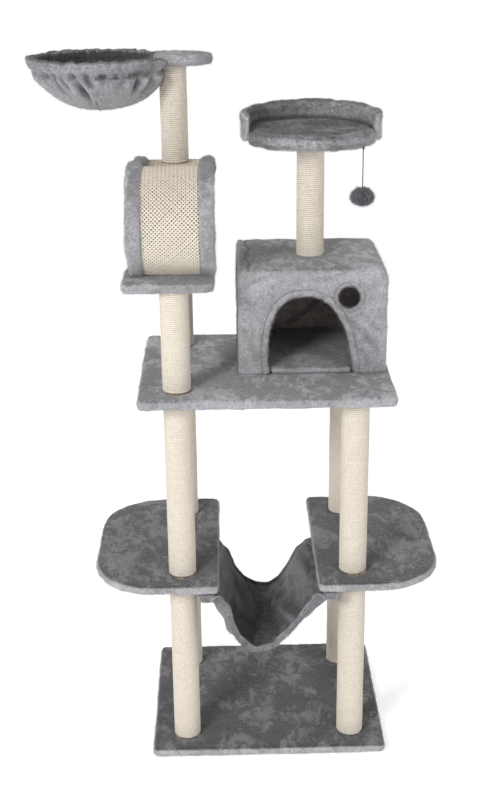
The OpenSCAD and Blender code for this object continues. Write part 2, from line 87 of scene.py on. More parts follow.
def make_studio():
    middle = (0, 0, 0.9)
    area_light("key", (-2.2, -3.2, 2.9), (0, 0, 1.3), 1.2, 90)
    area_light("fill", (2.8, -2.6, 1.9), middle, 2.6, 18)
    area_light("top", (0.3, 0.6, 4.4), middle, 2.0, 34)
    area_light("back", (0.5, 3.6, 2.2), middle, 2.4, 16)
    world = bpy.data.worlds.new("studio")
    world.use_nodes = True
    nodes, links = world.node_tree.nodes, world.node_tree.links
    split = nodes.new("ShaderNodeSeparateXYZ")
    links.new(nodes.new("ShaderNodeTexCoord").outputs["Generated"], split.inputs[0])
    fade = nodes.new("ShaderNodeMapRange")
    fade.interpolation_type = "SMOOTHSTEP"
    for socket, value in (("From Min", 0.06), ("From Max", 0.40), ("To Min", 1.08),
                          ("To Max", 0.42)):
        fade.inputs[socket].default_value = value
    links.new(split.outputs["Z"], fade.inputs["Value"])
    links.new(fade.outputs[0], nodes["Background"].inputs["Color"])
    scene.world = world
    scene.view_settings.view_transform = "Standard"
    mesh = bpy.data.meshes.new("floor")
    side = 30
    mesh.from_pydata([(-side, -side, 0), (side, -side, 0), (side, side, 0), (-side, side, 0)],
                     [], [(0, 1, 2, 3)])
    floor = bpy.data.objects.new("floor", mesh)
    scene.collection.objects.link(floor)
    surface = Shader("floor_paper", (0.93, 0.93, 0.93), 0.9)
    surface.vary(surface.noise(2.0), 0.02)
    surface.main.inputs["Emission Color"].default_value = (1, 1, 1, 1)
    far = surface.nodes.new("ShaderNodeVectorMath")
    far.operation = "LENGTH"
    surface.links.new(surface.nodes.new("ShaderNodeTexCoord").outputs["Object"], far.inputs[0])
    glow = surface.nodes.new("ShaderNodeMapRange")
    for socket, value in (("From Min", 2.0), ("From Max", 9.0), ("To Min", 0.42),
                          ("To Max", 0.62)):
        glow.inputs[socket].default_value = value
    surface.links.new(far.outputs["Value"], glow.inputs["Value"])
    surface.links.new(glow.outputs[0], surface.main.inputs["Emission Strength"])
    mesh.materials.append(surface.material)


# ---- Materials ---------------------------------------------------------------------------
class Shader:
    """A Principled material with short calls for the nodes that this script uses."""

    def __init__(self, name, colour, roughness):
        self.material = bpy.data.materials.new(name)
        self.material.use_nodes = True
        self.nodes = self.material.node_tree.nodes
        self.links = self.material.node_tree.links
        self.main = self.nodes["Principled BSDF"]
        self.main.inputs["Roughness"].default_value = roughness
        self.main.inputs["Specular IOR Level"].default_value = 0.25
        self.colour = self.rgb(colour)
        self.place = self.nodes.new("ShaderNodeTexCoord").outputs["Object"]
        self.use_colour()

    def rgb(self, colour):
        node = self.nodes.new("ShaderNodeRGB")
        node.outputs[0].default_value = (*colour, 1)
        return node.outputs[0]

    def use_colour(self):
        self.links.new(self.colour, self.main.inputs["Base Color"])

    def stretched(self, scale, place=None, turn=(0, 0, 0)):
        node = self.nodes.new("ShaderNodeMapping")
        node.inputs["Scale"].default_value = scale
        node.inputs["Rotation"].default_value = turn
        self.links.new(place or self.place, node.inputs["Vector"])
        return node.outputs[0]

    def noise(self, scale, detail=2.0, place=None, distortion=0.0, roughness=0.5):
        node = self.nodes.new("ShaderNodeTexNoise")
        node.inputs["Scale"].default_value = scale
        node.inputs["Detail"].default_value = detail
        node.inputs["Distortion"].default_value = distortion
        node.inputs["Roughness"].default_value = roughness
        self.links.new(place or self.place, node.inputs["Vector"])
        return node.outputs["Fac"]

    def math(self, operation, a, b=0.0, clamp=False):
        node = self.nodes.new("ShaderNodeMath")
        node.operation = operation
        node.use_clamp = clamp
        for socket, value in zip(node.inputs, (a, b)):
            if isinstance(value, (int, float)):
                socket.default_value = value
            else:
                self.links.new(value, socket)
        return node.outputs[0]

    def ramp(self, value, low, high, soft=True):
        """Value carried from low..high to 0..1."""
        node = self.nodes.new("ShaderNodeMapRange")
        node.interpolation_type = "SMOOTHSTEP" if soft else "LINEAR"
        node.inputs["From Min"].default_value = low
        node.inputs["From Max"].default_value = high
        self.links.new(value, node.inputs["Value"])
        return node.outputs[0]

    def mix(self, colour, amount):
        """Paints colour over the base colour by amount, a socket or a number."""
        node = self.nodes.new("ShaderNodeMix")
        node.data_type = "RGBA"
        if isinstance(amount, (int, float)):
            node.inputs["Factor"].default_value = amount
        else:
            self.links.new(amount, node.inputs["Factor"])
        self.links.new(self.colour, node.inputs["A"])
        self.links.new(self.rgb(colour), node.inputs["B"])
        self.colour = node.outputs["Result"]
        self.use_colour()

    def vary(self, value, amount):
        """Lightens and darkens the colour by a socket that runs from 0 to 1."""
        gain = self.math("ADD", self.math("MULTIPLY", value, 2 * amount), 1 - amount)
        node = self.nodes.new("ShaderNodeVectorMath")
        node.operation = "SCALE"
        self.links.new(self.colour, node.inputs[0])
        self.links.new(gain, node.inputs["Scale"])
        self.colour = node.outputs[0]
        self.use_colour()

    def bump(self, height, distance, strength=1.0):
        node = self.nodes.new("ShaderNodeBump")
        node.inputs["Distance"].default_value = distance
        node.inputs["Strength"].default_value = strength
        self.links.new(height, node.inputs["Height"])
        if self.main.inputs["Normal"].is_linked:
            self.links.new(self.main.inputs["Normal"].links[0].from_socket,
                           node.inputs["Normal"])
        self.links.new(node.outputs[0], self.main.inputs["Normal"])

    def facing_up(self):
        """1 where the surface faces up, 0 where it is upright or faces down."""
        split = self.nodes.new("ShaderNodeSeparateXYZ")
        self.links.new(self.nodes.new("ShaderNodeNewGeometry").outputs["Normal"],
                       split.inputs[0])
        return self.ramp(split.outputs["Z"], 0.25, 0.95)


def plush_material(name, colour, dark=(0.085, 0.085, 0.092), patches=0.72, sheen=0.4):
    """Short plush with painted shade: up-facing faces are mixed towards dark, less in the light nap
    patches, and marks in the fold attribute are painted darker still; with brushed patches and streaks,
    tufts and fibres."""
    s = Shader(name, colour, 0.92)
    swept = s.stretched((1.4, 1, 1.3), turn=(0.2, 0.1, 0.6))
    broad = s.ramp(s.noise(8.0, 6, swept, 0.6, 0.6), 0.32, 0.68)
    strokes = s.ramp(s.noise(30, 5, s.stretched((1.5, 1, 1.4), turn=(0.3, 0.5, 0.9)), 0.9, 0.6),
                     0.30, 0.70)
    tufts = s.ramp(s.noise(210, 3, None, 0.5, 0.6), 0.30, 0.70)
    fibres = s.noise(700, 2, None, 0.3, 0.7)
    nap = s.math("ADD", s.math("MULTIPLY", broad, 0.55), s.math("MULTIPLY", strokes, 0.45))
    s.vary(nap, 0.27)
    # Painted shade: up-facing faces are mixed towards dark, except where the nap is light in the
    # patches.
    light = s.math("MULTIPLY", s.ramp(nap, 0.38, 0.76), patches)
    s.mix(dark, s.math("MULTIPLY", s.facing_up(), s.math("SUBTRACT", 1.0, light), clamp=True))
    # Painted shade: the fold attribute darkens creases, seam grooves and hollows towards a darker
    # colour.
    fold = s.nodes.new("ShaderNodeAttribute")
    fold.attribute_name = "fold"
    s.mix(tuple(0.6 * c for c in dark), s.math("MULTIPLY", fold.outputs["Fac"], 0.85, clamp=True))
    s.vary(tufts, 0.20)
    s.vary(fibres, 0.30)
    s.bump(tufts, 0.0016, 0.8)
    s.bump(fibres, 0.0008, 0.9)
    s.main.inputs["Sheen Weight"].default_value = sheen
    s.main.inputs["Sheen Roughness"].default_value = 0.45
    s.main.inputs["Sheen Tint"].default_value = (0.86, 0.87, 0.9, 1)
    return s.material


def rope_material():
    """Sisal rope: twisted plies by UV (x along the rope in metres, y once round it)."""
    s = Shader("sisal_rope", (0.74, 0.68, 0.59), 0.82)
    uv = s.nodes.new("ShaderNodeTexCoord").outputs["UV"]
    split = s.nodes.new("ShaderNodeSeparateXYZ")
    s.links.new(uv, split.inputs[0])
    ply_length = 0.00817
    turn = s.math("ADD", s.math("DIVIDE", split.outputs["X"], ply_length), split.outputs["Y"])
    turn = s.math("ADD", turn, s.math("MULTIPLY", s.noise(55, 1), 3.0))
    plies = s.math("ADD", s.math("MULTIPLY", s.math("SINE", s.math("MULTIPLY", turn,
                   2 * math.pi)), 0.5), 0.5)
    along = s.stretched((60, 4, 1), uv)
    batch = s.noise(1.0, 2, s.stretched((9, 0.1, 0.1), uv))
    fibre = s.noise(34, 3, s.stretched((14, 1.4, 1), uv, (0, 0, 0.5)), 0.3, 0.7)
    speck = s.ramp(s.noise(260, 2, s.stretched((1, 1, 2.2)), 0.2), 0.64, 0.72)
    s.vary(batch, 0.10)
    s.vary(s.noise(1.0, 3, along), 0.12)
    s.vary(fibre, 0.16)
    s.vary(plies, 0.05)
    s.mix((0.30, 0.20, 0.11), s.math("MULTIPLY", speck, 0.75))
    s.bump(plies, 0.0004, 0.7)
    s.bump(fibre, 0.0004, 0.7)
    s.main.inputs["Sheen Weight"].default_value = 0.12
    return s.material


def strand_material():
    """The woven mat's strands, with fibres and darker specks."""
    s = Shader("sisal_weave", (0.74, 0.68, 0.585), 0.85)
    s.vary(s.noise(16, 3), 0.12)
    fibre = s.noise(1500, 2, None, 0.5, 0.7)
    s.vary(fibre, 0.22)
    s.mix((0.34, 0.25, 0.16), s.math("MULTIPLY", s.ramp(s.noise(330, 1), 0.72, 0.78), 0.6))
    # Painted shade: up-facing strands are mixed towards a darker brown.
    s.mix((0.44, 0.38, 0.31), s.math("MULTIPLY", s.facing_up(), 0.6))
    s.bump(fibre, 0.0004, 0.8)
    return s.material


def backing_material():
    s = Shader("mat_backing", (0.26, 0.21, 0.16), 0.95)
    s.vary(s.noise(400, 3), 0.3)
    s.bump(s.noise(700, 2), 0.0005)
    return s.material


def wood_material(name, colour, chips):
    """Raw board: pressed chips, or plies with long grain."""
    s = Shader(name, colour, 0.72)
    if chips:
        node = s.nodes.new("ShaderNodeTexVoronoi")
        node.inputs["Scale"].default_value = 160
        s.links.new(s.stretched((1, 2.4, 1)), node.inputs["Vector"])
        s.vary(s.math("MULTIPLY", node.outputs["Distance"], 1.4, clamp=True), 0.22)
        s.vary(s.noise(45, 3), 0.16)
        s.bump(node.outputs["Distance"], 0.0003)
    else:
        grain = s.noise(22, 5, s.stretched((1, 14, 14)), 0.6, 0.6)
        s.vary(grain, 0.24)
        s.vary(s.noise(7, 2), 0.08)
        s.bump(grain, 0.0003)
    return s.material


def card_material():
    s = Shader("wound_card", (0.52, 0.38, 0.24), 0.85)
    band = s.noise(30, 2, s.stretched((0.4, 0.4, 1)))
    s.vary(band, 0.14)
    s.vary(s.noise(500, 2), 0.14)
    s.bump(s.noise(600, 2), 0.0002)
    return s.material


def zinc_material():
    s = Shader("zinc_steel", (0.66, 0.67, 0.70), 0.34)
    s.main.inputs["Metallic"].default_value = 1.0
    s.main.inputs["Specular IOR Level"].default_value = 0.5
    flakes = s.noise(260, 3, None, 0.3)
    s.vary(flakes, 0.10)
    rough = s.math("ADD", s.math("MULTIPLY", flakes, 0.2), 0.26)
    s.links.new(rough, s.main.inputs["Roughness"])
    return s.material


def cord_material():
    """Braided elastic: two crossed sets of threads."""
    s = Shader("black_elastic", (0.018, 0.018, 0.022), 0.6)
    braid = s.noise(900, 2, s.stretched((1, 1, 0.5)), 0.2)
    s.vary(braid, 0.4)
    s.bump(braid, 0.0003)
    s.main.inputs["Sheen Weight"].default_value = 0.05
    return s.material


def yarn_material():
    s = Shader("pompom_yarn", (0.15, 0.15, 0.175), 0.9)
    s.vary(s.ramp(s.noise(120, 2), 0.3, 0.7), 0.42)
    s.vary(s.ramp(s.noise(420, 2), 0.3, 0.7), 0.40)
    s.bump(s.noise(1200, 2), 0.0004)
    s.main.inputs["Sheen Weight"].default_value = 0.6
    s.main.inputs["Sheen Roughness"].default_value = 0.4
    return s.material


def thread_material():
    s = Shader("sewing_thread", (0.22, 0.22, 0.24), 0.7)
    s.vary(s.noise(1400, 2), 0.25)
    return s.material


# ---- Mesh helpers ------------------------------------------------------------------------
def noise3(points, size, seed=0):
    """Smooth value noise from -1 to 1 with features of the given size, in metres."""
    at = np.asarray(points) / size + 13.7 * seed
    cell = np.floor(at).astype(np.int64)
    part = at - cell
    part = part * part * (3 - 2 * part)

    def corner(dx, dy, dz):
        n = ((cell[:, 0] + dx) * 73856093) ^ ((cell[:, 1] + dy) * 19349663) \
            ^ ((cell[:, 2] + dz) * 83492791)
        n = (n ^ (n >> 13)) * 1274126177
        return ((n >> 7) & 0xFFFF) / 32767.5 - 1

    total = 0
    for dx in (0, 1):
        for dy in (0, 1):
            for dz in (0, 1):
                weight = 1
                for axis, d in enumerate((dx, dy, dz)):
                    weight = weight * (part[:, axis] if d else 1 - part[:, axis])
                total = total + weight * corner(dx, dy, dz)
    return total


def step(low, high, value):
    """0 below low, 1 above high, smooth between."""
    t = np.clip((value - low) / (high - low), 0, 1)
    return t * t * (3 - 2 * t)


def full_turn(n):
    """The angles of n even steps round a circle."""
    return np.linspace(0, 2 * math.pi, n, endpoint=False)


def runs(line):
    """How far along a line each of its points lies."""
    return np.concatenate([[0], np.cumsum(np.linalg.norm(np.diff(line, axis=0), axis=1))])


def shade_smooth(mesh):
    mesh.polygons.foreach_set("use_smooth", [True] * len(mesh.polygons))
    mesh.update()


def edit_mesh(piece, change):
    """Runs change, a function of a bmesh, on the piece's mesh."""
    mesh = bmesh.new()
    mesh.from_mesh(piece.data)
    change(mesh)
    mesh.to_mesh(piece.data)
    mesh.free()


def face_outwards(mesh):
    bmesh.ops.recalc_face_normals(mesh, faces=mesh.faces)


def round_edges(mesh, edges, offset):
    bmesh.ops.bevel(mesh, geom=edges, offset=offset, segments=4, profile=0.5, affect="EDGES")


def new_piece(name, points, faces, uvs=None):
    mesh = bpy.data.meshes.new(name)
    mesh.from_pydata([tuple(p) for p in points], [], faces)
    if uvs is not None:
        layer = mesh.uv_layers.new(name="UVMap")
        layer.data.foreach_set("uv", np.asarray(uvs, dtype=np.float32).ravel())
    shade_smooth(mesh)
    piece = bpy.data.objects.new(name, mesh)
    scene.collection.objects.link(piece)
    return piece


def points_of(piece):
    flat = np.empty(len(piece.data.vertices) * 3)
    piece.data.vertices.foreach_get("co", flat)
    return flat.reshape(-1, 3)


def normals_of(piece):
    flat = np.empty(len(piece.data.vertices) * 3)
    piece.data.vertices.foreach_get("normal", flat)
    return flat.reshape(-1, 3)


def put_points(piece, points):
    piece.data.vertices.foreach_set("co", np.asarray(points).ravel())
    piece.data.update()


def apply_modifier(piece, kind, **settings):
    modifier = piece.modifiers.new(kind, kind)
    for key, value in settings.items():
        setattr(modifier, key, value)
    made = bpy.data.meshes.new_from_object(
        piece.evaluated_get(bpy.context.evaluated_depsgraph_get()))
    old = piece.data
    piece.modifiers.clear()
    piece.data = made
    made.name = piece.name
    bpy.data.meshes.remove(old)
    shade_smooth(made)


def remesh(piece, size, smooth=2):
    """Even cells of one size, then smoothed."""
    apply_modifier(piece, "REMESH", mode="VOXEL", voxel_size=size, use_smooth_shade=True)
    if smooth:
        apply_modifier(piece, "SMOOTH", factor=0.5, iterations=smooth)


def finish_piece(piece, material, nodes=(), body=TREE):
    """Material, body and slot of a piece, and the CAD nodes that it stands for."""
    piece.data.materials.clear()
    piece.data.materials.append(material)
    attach(piece, body)
    if nodes:
        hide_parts(*nodes)


def puff(piece, cap, pressure=4.0, frames=20):
    """Swells a closed mesh as cloth under pressure, moving no point further than cap."""
    start = points_of(piece)
    modifier = piece.modifiers.new("Cloth", "CLOTH")
    modifier.settings.use_pressure = True
    modifier.settings.uniform_pressure_force = pressure
    modifier.settings.effector_weights.gravity = 0
    modifier.settings.quality = 4
    modifier.point_cache.frame_start = 1
    modifier.point_cache.frame_end = frames
    for f in range(1, frames + 1):
        scene.frame_set(f)
    shaped = piece.evaluated_get(bpy.context.evaluated_depsgraph_get())
    flat = np.empty(len(start) * 3)
    shaped.data.vertices.foreach_get("co", flat)
    piece.modifiers.clear()
    scene.frame_set(1)
    moved = flat.reshape(-1, 3) - start
    length = np.linalg.norm(moved, axis=1, keepdims=True)
    put_points(piece, start + moved * np.minimum(1, cap / np.maximum(length, 1e-9)))


def prism(outline, z0, z1):
    """Points and faces of an upright prism over a closed outline."""
    n = len(outline)
    points = [(x, y, z0) for x, y in outline] + [(x, y, z1) for x, y in outline]
    faces = [tuple(reversed(range(n))), tuple(range(n, 2 * n))]
    faces += [(i, (i + 1) % n, n + (i + 1) % n, n + i) for i in range(n)]
    return points, faces


def soft_slab(name, outline, z0, z1, edge, size=0.004):
    """A prism with rounded rims, remeshed into even cells."""
    points, faces = prism(outline, z0, z1)
    piece = new_piece(name, points, faces)
    edit_mesh(piece, lambda mesh: round_edges(mesh, [
        e for e in mesh.edges if abs(e.verts[0].co.z - e.verts[1].co.z) < 1e-6], edge))
    remesh(piece, size)
    return piece


def arc(cx, cy, r, a0, a1, n):
    """Points on an arc, angles in degrees."""
    turn = np.radians(np.linspace(a0, a1, n + 1))
    return [(cx + r * math.cos(a), cy + r * math.sin(a)) for a in turn]


def round_box_outline(x0, x1, y0, y1, r, n=6):
    """A rectangle with rounded corners; r is one radius, or four from the upper right round."""
    r = [r] * 4 if isinstance(r, (int, float)) else r
    return (arc(x1 - r[0], y1 - r[0], r[0], 0, 90, n)
            + arc(x0 + r[1], y1 - r[1], r[1], 90, 180, n)
            + arc(x0 + r[2], y0 + r[2], r[2], 180, 270, n)
            + arc(x1 - r[3], y0 + r[3], r[3], 270, 360, n))


def place(node):
    """A node's box as (x0, x1, y0, y1, z0, z1)."""
    low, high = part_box(node)
    return low[0], high[0], low[1], high[1], low[2], high[2]


def post_place(node):
    """A post's (x, y, bottom, top, radius)."""
    x0, x1, y0, y1, z0, z1 = place(node)
    return (x0 + x1) / 2, (y0 + y1) / 2, z0, z1, (x1 - x0) / 2


POSTS = [f"{level}_{side}_sisal" for level in ("lower", "middle")
         for side in ("front_left", "front_right", "rear_left", "rear_right")]
POSTS += ["arch_front_sisal", "arch_rear_sisal", "basket_post_sisal", "bed_post_sisal"]


def plush_relief(piece, seed, lumps=0.0012, tufts=0.0006):
    """Uneven plush: soft lumps and fine tufts, pressed in where a post stands on it."""
    points = points_of(piece)
    push = lumps * noise3(points, 0.045, seed) + lumps * 0.6 * noise3(points, 0.018, seed + 1)
    push += tufts * noise3(points, 0.006, seed + 2)
    points = points + normals_of(piece) * push[:, None]
    for node in POSTS:
        x, y, z0, z1, r = post_place(node)
        away = np.hypot(points[:, 0] - x, points[:, 1] - y)
        dent = 0.003 * (1 - step(r - 0.002, r + 0.012, away))
        for end, way in ((z0, -1), (z1, 1)):
            near = np.abs(points[:, 2] - end) < 0.006
            points[:, 2] += way * dent * near
    put_points(piece, points)


class Build:
    """Collects grids, tapered fibres and caps into one mesh, with UVs where they are given."""

    def __init__(self):
        self.points = []
        self.faces = []
        self.uvs = []
        self.count = 0

    def grid(self, points, closed=False, scale=(1, 1), caps=False):
        """Points of shape (n, m, 3); closed joins the second axis round."""
        n, m = points.shape[:2]
        i, j = np.meshgrid(np.arange(n - 1), np.arange(m if closed else m - 1), indexing="ij")
        k = (j + 1) % m
        quads = np.stack([i * m + j, (i + 1) * m + j, (i + 1) * m + k, i * m + k], -1)
        u, v = i * scale[0], j * scale[1]
        corners = [(u, v), (u + scale[0], v), (u + scale[0], v + scale[1]), (u, v + scale[1])]
        uvs = np.stack([np.stack(c, -1) for c in corners], 2)
        self.faces += (quads.reshape(-1, 4) + self.count).tolist()
        self.uvs.append(uvs.reshape(-1, 2))
        if caps:
            ends = [list(range(m))[::-1], [(n - 1) * m + q for q in range(m)]]
            self.faces += [[q + self.count for q in end[::-1]] for end in ends]
            self.uvs.append(np.zeros((2 * m, 2)))
        self.points.append(points.reshape(-1, 3))
        self.count += n * m

    def fibres(self, roots, tips, width, bend=0.25):
        """Three-sided tapered hairs that bow a little between root and tip."""
        n = len(roots)
        along = tips - roots
        length = np.linalg.norm(along, axis=1, keepdims=True) + 1e-9
        side = np.cross(along, [0.31, 0.52, 0.79])
        side /= np.linalg.norm(side, axis=1, keepdims=True) + 1e-9
        other = np.cross(along / length, side)
        middle = roots + along * 0.55 + (side + other) * length * bend
        rings = []
        for centre, w in ((roots, width), (middle, width * 0.7)):
            for turn in (0, 2.0944, 4.18879):
                rings.append(centre + w / 2 * (side * math.cos(turn) + other * math.sin(turn)))
        cells = np.stack(rings + [tips], 1)
        pattern = [[0, 1, 4, 3], [1, 2, 5, 4], [2, 0, 3, 5]]
        ends = [[3, 4, 6], [4, 5, 6], [5, 3, 6]]
        start = (np.arange(n) * 7)[:, None] + self.count
        for face in pattern + ends:
            self.faces += (start + np.array(face)).tolist()
            self.uvs.append(np.full((n * len(face), 2), 0.5))
        self.points.append(cells.reshape(-1, 3))
        self.count += n * 7

    def make(self, name, with_uv=False):
        uvs = np.concatenate(self.uvs) if with_uv else None
        return new_piece(name, np.concatenate(self.points), self.faces, uvs)


def tube(path, radius, sides=8):
    """Points (n, sides, 3) of a tube round a path; radius is a number or one per point."""
    path = np.asarray(path, float)
    along = np.gradient(path, axis=0)
    along /= np.linalg.norm(along, axis=1, keepdims=True)
    out = np.cross(along, [0.21, 0.13, 0.97])
    out /= np.linalg.norm(out, axis=1, keepdims=True) + 1e-12
    other = np.cross(along, out)
    turn = full_turn(sides)
    radius = np.broadcast_to(np.asarray(radius, float), (len(path),))[:, None, None]
    return path[:, None] + radius * (out[:, None] * np.cos(turn)[None, :, None]
                                     + other[:, None] * np.sin(turn)[None, :, None])


def face_centres(piece):
    n = len(piece.data.polygons)
    centre, normal, area = np.empty(n * 3), np.empty(n * 3), np.empty(n)
    piece.data.polygons.foreach_get("center", centre)
    piece.data.polygons.foreach_get("normal", normal)
    piece.data.polygons.foreach_get("area", area)
    return centre.reshape(-1, 3), normal.reshape(-1, 3), area


def pile(piece, count, seed, length=0.0045, width=0.0006, weight=None, lean=(0.2, -0.2, -0.5),
         apart=None):
    """Adds loose pile hairs to a plush piece, thicker where weight says so. With a material in
    apart they become a piece of their own, as a sheet needs."""
    random = np.random.default_rng(seed)
    centre, normal, area = face_centres(piece)
    share = area * (1 if weight is None else weight(centre, normal))
    picked = random.choice(len(centre), count, p=share / share.sum())
    roots = centre[picked] + random.normal(0, 0.0012, (count, 3))
    roots -= normal[picked] * (0.0006 + (random.random((count, 1)) < 0.3) * 0.0004)
    drift = np.stack([noise3(roots, 0.05, seed + k) for k in (3, 4, 5)], 1)
    way = normal[picked] * 0.75 + np.asarray(lean) * 0.6 + drift * 0.7
    way += random.normal(0, 0.28, (count, 3))
    way /= np.linalg.norm(way, axis=1, keepdims=True)
    build = Build()
    build.fibres(roots, roots + way * length * random.uniform(0.6, 1.25, (count, 1)), width)
    hairs = build.make(piece.name + "_pile")
    # The hairs take the painted shade stored on the faces that they grow from.
    marks = piece.data.attributes.get("fold")
    if marks:
        value = np.empty(len(piece.data.vertices), np.float32)
        marks.data.foreach_get("value", value)
        first = np.empty(len(piece.data.polygons), np.int32)
        piece.data.polygons.foreach_get("loop_start", first)
        corner = np.empty(len(piece.data.loops), np.int32)
        piece.data.loops.foreach_get("vertex_index", corner)
        paint_shade(hairs, np.repeat(value[corner[first[picked]]], 7))
    if apart:
        finish_piece(hairs, apart)
    else:
        join(piece, hairs)
    return hairs if apart else None


def paint_shade(piece, amount):
    """Stores painted shade for the plush material, 0 to 1 at each point: how deep in a fold, groove or
    shaded hollow it lies.
    """
    mark = piece.data.attributes.new("fold", "FLOAT", "POINT")
    mark.data.foreach_set("value", np.clip(amount, 0, 1).astype(np.float32))


def join(piece, *others):
    """Moves the others' meshes into the piece."""
    mesh = bmesh.new()
    mesh.from_mesh(piece.data)
    for other in others:
        mesh.from_mesh(other.data)
        old = other.data
        bpy.data.objects.remove(other)
        bpy.data.meshes.remove(old)
    mesh.to_mesh(piece.data)
    mesh.free()
    shade_smooth(piece.data)


def upright_rims(_, normal):
    """Pile shows most on upright faces and rims, least on flat undersides."""
    return 0.5 + 2.2 * (np.abs(normal[:, 2]) < 0.85) + 0.3 * (normal[:, 2] > 0.85)


# ---- Rope wound on the posts -------------------------------------------------------------
ROPE_STEPS = 40.38  # points in one turn; not a whole number, so that they don't line up


def make_rope(node, seed):
    """One rope wound from end to end, a level ring at each end, with loose fibres."""
    x, y, z0, z1, outer = post_place(node)
    r = 0.00256
    random = np.random.default_rng(seed)
    turns = round((z1 - z0 - 2 * r) / 0.005)
    sides = 7
    t = np.linspace(0, turns + 2, round((turns + 2) * ROPE_STEPS))
    z = z0 + r + np.clip(t - 1, 0, turns) * (z1 - z0 - 2 * r) / turns
    turn = 2 * math.pi * t + seed
    line = np.stack([np.cos(turn), np.sin(turn), z * 6], 1)
    reach = outer - 0.0025 + 0.00030 * noise3(line, 0.35, seed)
    z = z + 0.00022 * noise3(line, 0.22, seed + 1)
    thick = r * (1 + 0.05 * noise3(line, 0.12, seed + 2))
    round_it = full_turn(sides)
    flat = reach[:, None] + thick[:, None] * np.cos(round_it)
    points = np.stack([x + flat * np.cos(turn)[:, None], y + flat * np.sin(turn)[:, None],
                       z[:, None] + thick[:, None] * np.sin(round_it)], -1)
    build = Build()
    step_length = 2 * math.pi * outer / ROPE_STEPS
    build.grid(points, closed=True, scale=(step_length, 1 / sides), caps=True)
    count = int(900 * (z1 - z0))
    spot = random.uniform(0, 2 * math.pi, count)
    height = random.uniform(z0 + 0.004, z1 - 0.004, count)
    roots = np.stack([x + outer * np.cos(spot), y + outer * np.sin(spot), height], 1)
    out = np.stack([np.cos(spot), np.sin(spot), 0 * spot], 1)
    around = np.stack([-np.sin(spot), np.cos(spot), 0 * spot], 1)
    way = out * random.uniform(0.15, 0.8, (count, 1)) + around * random.normal(0, 0.9, (count, 1))
    way[:, 2] += random.normal(0, 0.45, count)
    way /= np.linalg.norm(way, axis=1, keepdims=True)
    length = random.uniform(0.002, 0.0065, (count, 1))
    build.fibres(roots - out * 0.0008, roots + way * length, 0.00028)
    piece = build.make(node.replace("sisal", "rope"), with_uv=True)
    finish_piece(piece, ROPE, [node])


# ---- Plush-covered boards ----------------------------------------------------------------
def deck_outline(side):
    """A deck's outline: two wide corners outside, two tight ones inside."""
    x0, x1, y0, y1, _, _ = place(("right" if side > 0 else "left") + "_deck_cover")
    inner, outer = (x0, x1) if side > 0 else (-x1, -x0)
    line = round_box_outline(inner, outer, y0, y1, [0.155, 0.014, 0.014, 0.155], 14)
    return line if side > 0 else [(-x, y) for x, y in reversed(line)]


def make_slabs():
    """The base, both decks, the platform and the two small plates."""
    makers = {
        "base_cover": lambda x0, x1, y0, y1: round_box_outline(x0, x1, y0, y1, 0.014),
        "left_deck_cover": lambda *_: deck_outline(-1),
        "right_deck_cover": lambda *_: deck_outline(1),
        "platform_cover": lambda x0, x1, y0, y1: round_box_outline(x0, x1, y0, y1, 0.016),
        "arch_plate_cover": lambda x0, x1, y0, y1: round_box_outline(x0, x1, y0, y1, 0.016),
        "basket_plate_cover": lambda x0, x1, y0, y1: round_box_outline(
            x0, x1, y0, y1, [0.069, 0.006, 0.006, 0.069], 12),
    }
    for seed, (node, outline) in enumerate(makers.items()):
        x0, x1, y0, y1, z0, z1 = place(node)
        small = x1 - x0 < 0.25
        piece = soft_slab(node.replace("_cover", "_plush"), outline(x0, x1, y0, y1),
                          z0, z1, 0.007, 0.003 if small else 0.004)
        plush_relief(piece, 20 + 5 * seed)
        pile(piece, 5000 if small else 16000, 40 + seed, weight=upright_rims)
        wide = node.startswith(("base", "left", "right"))
        finish_piece(piece, DEEP if wide else PLUSH, [node])


# ---- House -------------------------------------------------------------------------------
def door_line(grow=0.0, n=64):
    """The door's arch as (x, z), leaning a little to the left; grow moves it outwards."""
    width, height, centre, foot = 0.205 + 2 * grow, 0.196 + grow, 0.112, 0.987
    line = []
    for i in range(n + 1):
        a = math.pi * i / n
        c = math.cos(a)
        h = math.sin(a) ** (2 / 2.4) * height if 0 < i < n else 0
        line.append((math.copysign(abs(c) ** (2 / 2.4), c) * width / 2 + centre - 0.085 * h,
                     foot + h))
    return line


def window_line(r, n=48):
    """A circle round the window's middle, as (x, z)."""
    x, z = 0.202, 1.180
    return [(x + r * math.cos(2 * math.pi * i / n), z + r * math.sin(2 * math.pi * i / n))
            for i in range(n)]


def cut(piece, outline, y0, y1):
    """Cuts an outline in the (x, z) plane through a piece from y0 to y1."""
    points, faces = prism([(x, z) for x, z in outline], 0, 1)
    points = [(x, y0 + (y1 - y0) * t, z) for x, z, t in points]
    cutter = new_piece("cutter", points, faces)
    edit_mesh(cutter, face_outwards)
    apply_modifier(piece, "BOOLEAN", operation="DIFFERENCE", object=cutter, solver="EXACT")
    bpy.data.objects.remove(cutter)


def box_piece(name, x0, x1, y0, y1, z0, z1):
    return new_piece(name, *prism([(x0, y0), (x1, y0), (x1, y1), (x0, y1)], z0, z1))


def away_from(points, line):
    """Each point's distance to a line of (x, z) points in the front wall's plane."""
    flat = points[:, [0, 2]]
    best = np.full(len(points), 9.0)
    line = np.asarray(line)
    for a, b in zip(line[:-1], line[1:]):
        d = b - a
        t = np.clip(((flat - a) @ d) / (d @ d), 0, 1)
        best = np.minimum(best, np.linalg.norm(flat - a - t[:, None] * d, axis=1))
    return best


